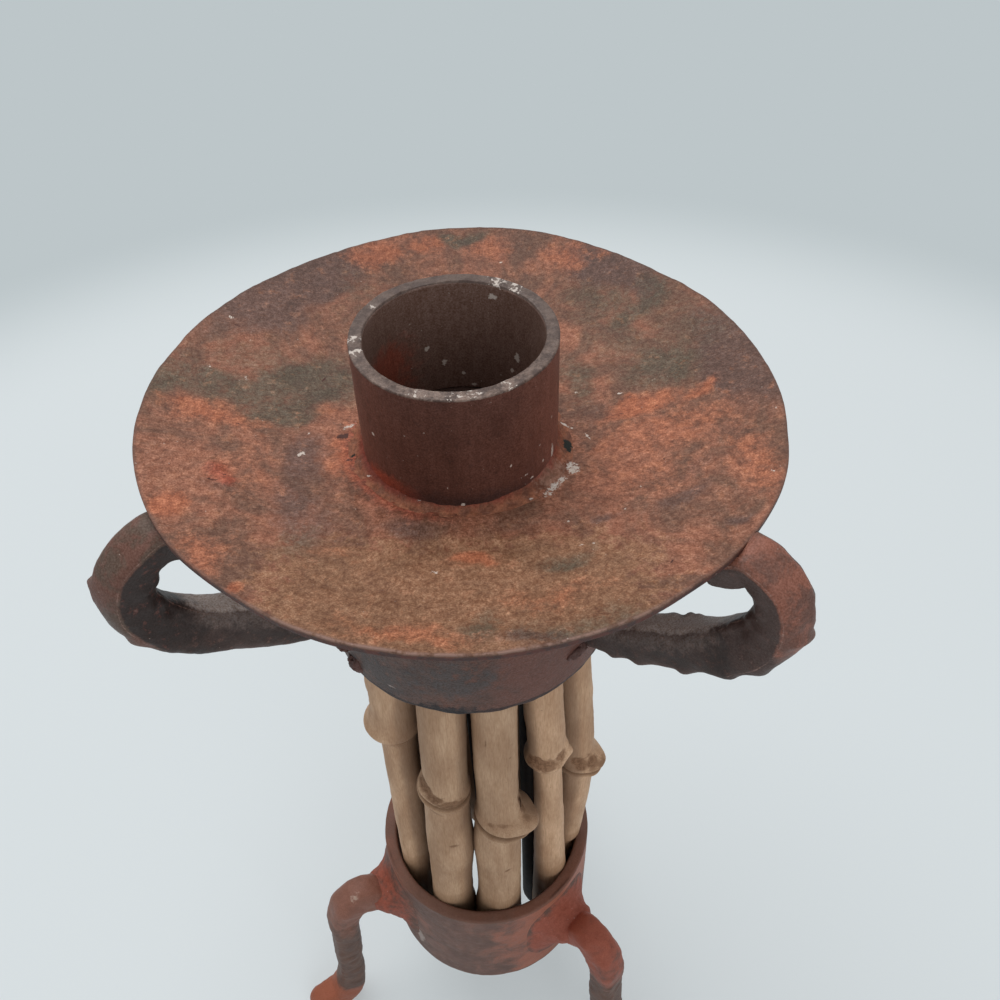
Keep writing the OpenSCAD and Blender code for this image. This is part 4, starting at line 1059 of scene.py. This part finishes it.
def caneMaterial():
    # dry cream cane: fine upright fibres, faint blotches, brown scars and a dark line at each node, partly painted
    # shade below it. Painted shade darkens the flanks that face the other canes
    material, tree, shader, place = startMaterial("dry cane", 0.6, 0.06)
    slow = grain(tree, place, 6, 4, 0.5, stretch=(1, 1, 3))
    fibre = grain(tree, place, 0.3, 3, 0.55, stretch=(1, 1, 22))
    hair = grain(tree, place, 0.2, 2, 0.5, stretch=(1, 1, 9))
    streaks = grain(tree, place, 1.6, 4, 0.6, stretch=(1, 1, 7))
    grit = grain(tree, place, 0.6, 4, 0.65)
    colour = blend(tree, between(tree, slow, 0.35, 0.65), paint(173, 139, 111), paint(196, 162, 132))
    colour = blend(tree, product(tree, between(tree, fibre, 0.5, 0.68), 0.3), colour, paint(150, 116, 84))
    colour = blend(tree, product(tree, between(tree, grit, 0.6, 0.74), 0.3), colour, paint(142, 104, 76))
    colour = shaded(tree, colour, hair, 0.1)
    colour = shaded(tree, colour, streaks, 0.07)
    # painted shade: the flanks facing the other canes are darkened
    flankShade = ragged(tree, field(tree, "flankShade"), streaks, 0.35, 0.1, 0.95)
    colour = blend(tree, product(tree, flankShade, 0.5), colour, paint(112, 90, 76))
    brown = blend(tree, between(tree, grit, 0.42, 0.58), paint(110, 80, 60), paint(138, 106, 82))
    colour = blend(tree, product(tree, ragged(tree, field(tree, "scar"), grit, 0.6, 0.1, 0.8), 0.9), colour, brown)
    # dark line at each node: partly the node's own colour, partly painted shade under its bulge
    colour = blend(tree, product(tree, field(tree, "groove"), 0.75), colour, paint(104, 78, 58))
    colour = blend(tree, between(tree, field(tree, "scar"), 1.1, 1.4), colour, paint(70, 48, 34))
    colour = blend(tree, product(tree, ragged(tree, field(tree, "shade"), slow, 0.3), 0.25), colour, paint(140, 104, 74))
    # brightness of each cane: partly its own tone, partly painted light and shade
    colour = blend(tree, 1.0, colour, field(tree, "toneAndLight"), "MULTIPLY")
    spots = between(tree, grain(tree, place, 0.5, 2, 0.5), 0.73, 0.8)
    colour = blend(tree, product(tree, spots, 0.6), colour, paint(112, 78, 56))
    tree.links.new(colour, shader.inputs["Base Color"])
    tree.links.new(ranged(tree, field(tree, "scar"), 0, 1, 0.55, 0.75), shader.inputs["Roughness"])
    addBump(tree, shader, total(tree, product(tree, fibre, 0.5), product(tree, grit, 0.4)), 0.06)
    return material


# Tie rods, and welds that are blobs of metal

rod = {"size": 4.0, "circle": 9.47, "firstTurn": -16, "footHeight": -147.2, "bend": 3.5, "reach": 20.45,
       "lean": -11.0, "spread": 1.9}


def makeRods(material):
    # round bar down the inside of the bundle, bent out to the lower ring at its foot. The rods lean:
    # each is turned about the Z axis and spread outward, more and more towards its foot
    bend = np.linspace(0, np.pi / 2, 12)
    centre = rod["circle"] + rod["bend"]
    foot = np.stack([centre - rod["bend"] * np.cos(bend), rod["footHeight"] + rod["bend"] - rod["bend"] * np.sin(bend)], -1)
    path = np.vstack([[[rod["circle"], collarHigh[2]]], foot, [[rod["reach"], rod["footHeight"]]]])
    path, way = evenPath(path, 1.2)
    step = np.gradient(path, axis=0)
    step /= np.linalg.norm(step, axis=1, keepdims=True)
    around = np.linspace(0, 2 * np.pi, 28, endpoint=False)
    half = rod["size"] / 2
    thick = np.sin(around)[None, :] * half
    grid = np.stack([path[:, 0:1] - step[:, 1:2] * thick, np.cos(around)[None, :] * half + 0 * path[:, 0:1],
                     path[:, 1:2] + step[:, 0:1] * thick], -1)
    down = (collarHigh[2] - grid[..., 2]) / (collarHigh[2] - rod["footHeight"])
    lean = np.radians(rod["lean"] * np.clip(down, 0, 1))
    x, y = grid[..., 0], grid[..., 1]
    x = x + rod["spread"] * down * (1 - eased(x, rod["circle"] + 2, rod["reach"] - 2))
    grid = np.stack([x * np.cos(lean) - y * np.sin(lean), x * np.sin(lean) + y * np.cos(lean), grid[..., 2]], -1)
    for number in range(3):
        placed = turned(grid, rod["firstTurn"] + 120 * number)
        addPiece("tieRod%d" % (number + 1), [placed], material, ["tie_rod_%d" % (number + 1)])


# near-black rod steel: real tie rods, whose near-black colour is partly painted shade, filling the dark seen between
# the front canes
def darkSteel():
    material, tree, shader, place = startMaterial("dark rod steel", 0.6, 0.15)
    slow = grain(tree, place, 3, 4, 0.6)
    colour = blend(tree, between(tree, slow, 0.4, 0.65), paint(24, 21, 22), paint(44, 34, 31))
    tree.links.new(colour, shader.inputs["Base Color"])
    addBump(tree, shader, slow, 0.1)
    return material


def blob(centre, sizes, turn, seed, rough):
    # lump of weld: a ball stretched along its turned axes, with noise on its radius
    up = np.linspace(-np.pi / 2, np.pi / 2, 26)[1:-1, None]
    around = np.linspace(0, 2 * np.pi, 40, endpoint=False)[None, :]
    ball = np.stack([np.cos(up) * np.cos(around), np.cos(up) * np.sin(around), np.sin(up) + 0 * around], -1)
    swell = 1 + rough * roughField(ball * 3 + seed, 1.4, seed, 3)
    return turned(ball * swell[..., None] * np.array(sizes), turn) + np.array(centre)


def ringBead(radius, height, width, tall, seed, columns=260):
    # bead round a post: a half oval section turned round the axis, with lumps along it
    section = np.linspace(0, 2 * np.pi, 22, endpoint=False)[:, None]
    angle = np.linspace(0, 2 * np.pi, columns, endpoint=False)[None, :]
    circle = np.stack([np.cos(angle) * radius, np.sin(angle) * radius, np.zeros_like(angle)], -1)
    swell = 1 + 0.35 * lumps(circle, 3.2, seed) + 0.2 * lumps(circle, 1.3, seed + 1)
    r = radius + width * swell * np.cos(section)
    z = height + tall * swell * np.sin(section)
    return np.stack([r * np.cos(angle), r * np.sin(angle), z + 0 * angle], -1)


# extra lumps of weld where the two front arms leave the collar: direction, height, reach and half sizes
rootLumps = [[-146, -29, 23.8, [1.2, 2.2, 0.9]], [-141, -32.8, 23.2, [0.9, 1.7, 1.5]], [-45, -28.8, 23.2, [0.8, 2.0, 1.0]]]


def makeWelds(material, legMetal):
    # the plain welds sit under the pan and inside the bundle, and take the painted shade
    none = {"hole": 0.0, "red": 0.0, "pale": 0.0, "grey": 0.0, "paintedShade": 1.0}

    def plain(count):
        return {key: [np.full((1, 1), value)] * count for key, value in none.items()}

    bead = ringBead(pipeRadius + 0.5, collarHigh[2] - 1.0, 1.5, 1.5, 71)
    under = panTop(bead[..., 0], bead[..., 1]) - sheetThickness - 0.05
    bead[..., 2] = np.minimum(bead[..., 2], under)
    addPiece("collarWeld", [bead], material, ["collar_weld"], plain(1), closedRows=True)
    roots, tips, feet, ends = [], [], [], []
    for number, turn in enumerate(arm["turns"]):
        c, s = math.cos(math.radians(turn)), math.sin(math.radians(turn))
        for height, tall in ((arm["rootHeight"] + 3.2, 1.7), (arm["rootHeight"] - 2.7, 1.5)):
            out = pipeRadius + 0.9
            roots.append(blob([out * c, out * s, height], [1.7, 2.4, tall], turn, 200 + number, 0.25))
        out = arm["lip"][-1] - 0.3
        tips.append(blob([out * c, out * s, underPan(turn, out, 1.3)], [1.3, 2.2, 1.2], turn, 210 + number, 0.25))
    for number, (turn, height, out, sizes) in enumerate(rootLumps):
        c, s = math.cos(math.radians(turn)), math.sin(math.radians(turn))
        roots.append(blob([out * c, out * s, height], sizes, turn, 240 + number, 0.25))
    for number, turn in enumerate(leg["turns"]):
        feet.append(legSleeve(turn, 220 + number))
    for number in range(3):
        turn = rod["firstTurn"] + 120 * number
        c, s = math.cos(math.radians(turn)), math.sin(math.radians(turn))
        ends.append(blob([rod["circle"] * c, rod["circle"] * s, collarHigh[2] - 0.6], [2.7, 2.7, 0.55], turn, 230 + number, 0.1))
        turn = turn + rod["lean"]
        c, s = math.cos(math.radians(turn)), math.sin(math.radians(turn))
        out = rod["reach"] - 0.45
        ends.append(blob([out * c, out * s, rod["footHeight"]], [0.5, 2.6, 2.6], turn, 235 + number, 0.1))
    for name, blobs, node in (("armRootWelds", roots, "arm_root_welds"), ("armTipWelds", tips, "arm_tip_welds"),
                              ("rodWelds", ends, "rod_welds")):
        addPiece(name, blobs, material, [node], plain(len(blobs)))
    rusty = plain(len(feet))
    rusty["paintedShade"] = [np.zeros((1, 1))] * len(feet)
    rusty["red"] = [value * eased(np.hypot(grid[..., 0], grid[..., 1]), pipeRadius - 0.6, pipeRadius + 1.6)
                    for value, grid in zip((0.7, 1.5, 0.45), feet)]
    rusty["pale"] = [sum(hump(np.linalg.norm(grid - place, axis=-1), size) for place, size in leg["chips"])
                     for grid in feet]
    addPiece("legWelds", feet, legMetal, ["leg_welds"], rusty)


# Floor, lamps and camera

stage = {
    "floorHalf": 4000,
    "farStart": 300,      # the floor's own light takes over between these distances from the holder
    "farEnd": 425,
    "nearShare": 0.4,     # share of the floor's own light close by, which keeps the shadow soft
    "worldLight": 0.45,
}


def seenRays(tree):
    # 1 for rays that look at the scene straight, by reflection or through glass
    path = addNode(tree, "ShaderNodeLightPath", {})
    return total(tree, *(path.outputs[name] for name in ("Is Camera Ray", "Is Glossy Ray", "Is Transmission Ray")))


def makeFloor():
    # pale floor that takes the holder's shadow, and glows evenly far away as a backdrop
    half = stage["floorHalf"] * mm
    z = floorHeight * mm
    mesh = bpy.data.meshes.new("floor")
    mesh.from_pydata([(-half, -half, z), (half, -half, z), (half, half, z), (-half, half, z)], [], [(0, 1, 2, 3)])
    floor = bpy.data.objects.new("floor", mesh)
    bpy.context.scene.collection.objects.link(floor)
    material, tree, shader, place = startMaterial("pale floor", 0.9, 0.1)
    shader.inputs["Base Color"].default_value = paint(223, 229, 231)
    flat = addNode(tree, "ShaderNodeVectorMath", {0: place, 1: (1, 1, 0)}, operation="MULTIPLY").outputs[0]
    away = addNode(tree, "ShaderNodeVectorMath", {0: flat}, operation="LENGTH").outputs["Value"]
    far = between(tree, away, stage["farStart"] * mm, stage["farEnd"] * mm)
    glow = addNode(tree, "ShaderNodeEmission", {"Color": blend(tree, far, paint(215, 223, 225), paint(189, 198, 201))})
    own = product(tree, seenRays(tree), ranged(tree, far, 0, 1, stage["nearShare"], 1))
    mixed = addNode(tree, "ShaderNodeMixShader", {0: own, 1: shader.outputs[0], 2: glow.outputs[0]}).outputs[0]
    tree.links.new(mixed, tree.nodes["Material Output"].inputs["Surface"])
    mesh.materials.append(material)


def addLamp(name, place, aim, size, power):
    lamp = bpy.data.lights.new(name, "AREA")
    lamp.energy = power
    lamp.size = size
    holder = bpy.data.objects.new(name, lamp)
    bpy.context.scene.collection.objects.link(holder)
    back = np.array(place, float) - np.array(aim, float)
    back /= np.linalg.norm(back)
    side = np.cross([0, 1, 0] if abs(back[2]) > 0.9 else [0, 0, 1], back)
    side /= np.linalg.norm(side)
    turn = np.stack([side, np.cross(back, side), back], 1)
    holder.matrix_world = Matrix.Translation(place) @ Matrix(turn.tolist()).to_4x4()


def makeLight():
    world = bpy.data.worlds.new("soft room")
    world.use_nodes = True
    bpy.context.scene.world = world
    tree = world.node_tree
    light = tree.nodes["Background"]
    light.inputs["Color"].default_value = paint(250, 252, 255)
    light.inputs["Strength"].default_value = stage["worldLight"]
    backdrop = addNode(tree, "ShaderNodeBackground", {"Color": paint(189, 198, 201), "Strength": 1.0}).outputs[0]
    mixed = addNode(tree, "ShaderNodeMixShader", {0: seenRays(tree), 1: light.outputs[0], 2: backdrop}).outputs[0]
    tree.links.new(mixed, tree.nodes["World Output"].inputs["Surface"])
    addLamp("overhead lamp", (-0.15, 0.25, 0.75), (0, 0, -0.05), 0.7, 5.0)
    addLamp("front lamp", (0.3, -0.7, 0.35), (0, 0, -0.08), 0.6, 1.45)


def makeCamera():
    # the camera looks along +Y, tilted down, and rolled a little about its own axis
    tiltDown, roll = math.radians(45.647), math.radians(-1.692)
    forward = np.array([0, math.cos(tiltDown), -math.sin(tiltDown)])
    right, up = np.array([1.0, 0, 0]), np.array([0, math.sin(tiltDown), math.cos(tiltDown)])
    c, s = math.cos(roll), math.sin(roll)
    turn = np.stack([c * right + s * up, -s * right + c * up, -forward], 1)
    lens = bpy.data.cameras.new("camera")
    lens.sensor_width = 36
    lens.lens = 34.56
    lens.clip_start = 0.005
    holder = bpy.data.objects.new("camera", lens)
    bpy.context.scene.collection.objects.link(holder)
    place = np.array([5.31, -101.75, 91.71]) * mm
    holder.matrix_world = Matrix.Translation(place.tolist()) @ Matrix(turn.tolist()).to_4x4()
    bpy.context.scene.camera = holder


makeCamera()
makeFloor()
makeLight()
weldMetal = weldMaterial("weld rust", paint(120, 76, 58), paint(152, 94, 66), paint(118, 48, 36), 0.3)
legWeldMetal = weldMaterial("leg weld rust", paint(100, 74, 64), paint(126, 82, 68), paint(156, 80, 60), 0.17)
makePan(panMaterial())
makeCup(cupMaterial())
makeCupWeld(weldMetal)
collarSteel = pipeMaterial("collar steel", paint(82, 60, 53), paint(101, 75, 66), paint(108, 68, 57), paint(44, 33, 31),
                           1.5, 0.34, 0.4)
ringRust = pipeMaterial("lower ring rust", paint(98, 69, 58), paint(117, 82, 69), paint(166, 99, 76), paint(112, 78, 64),
                        0.6, 0.1, 0.14)
makePipe("collarPipe", collarLow[2], collarHigh[2], collarSteel, "collar", 81)
makePipe("lowerRing", ringLow[2], ringHigh[2], ringRust, "lower_ring", 86)
makeArms(armMaterial())
makeLegs(legMaterial())
caneSkin = caneMaterial()
for caneIndex in range(len(cane["each"])):
    makeCane(caneIndex, caneSkin)
makeRods(darkSteel())
makeWelds(weldMetal, legWeldMetal)

bpy.context.scene.view_settings.view_transform = "Standard"
bpy.context.view_layer.update()
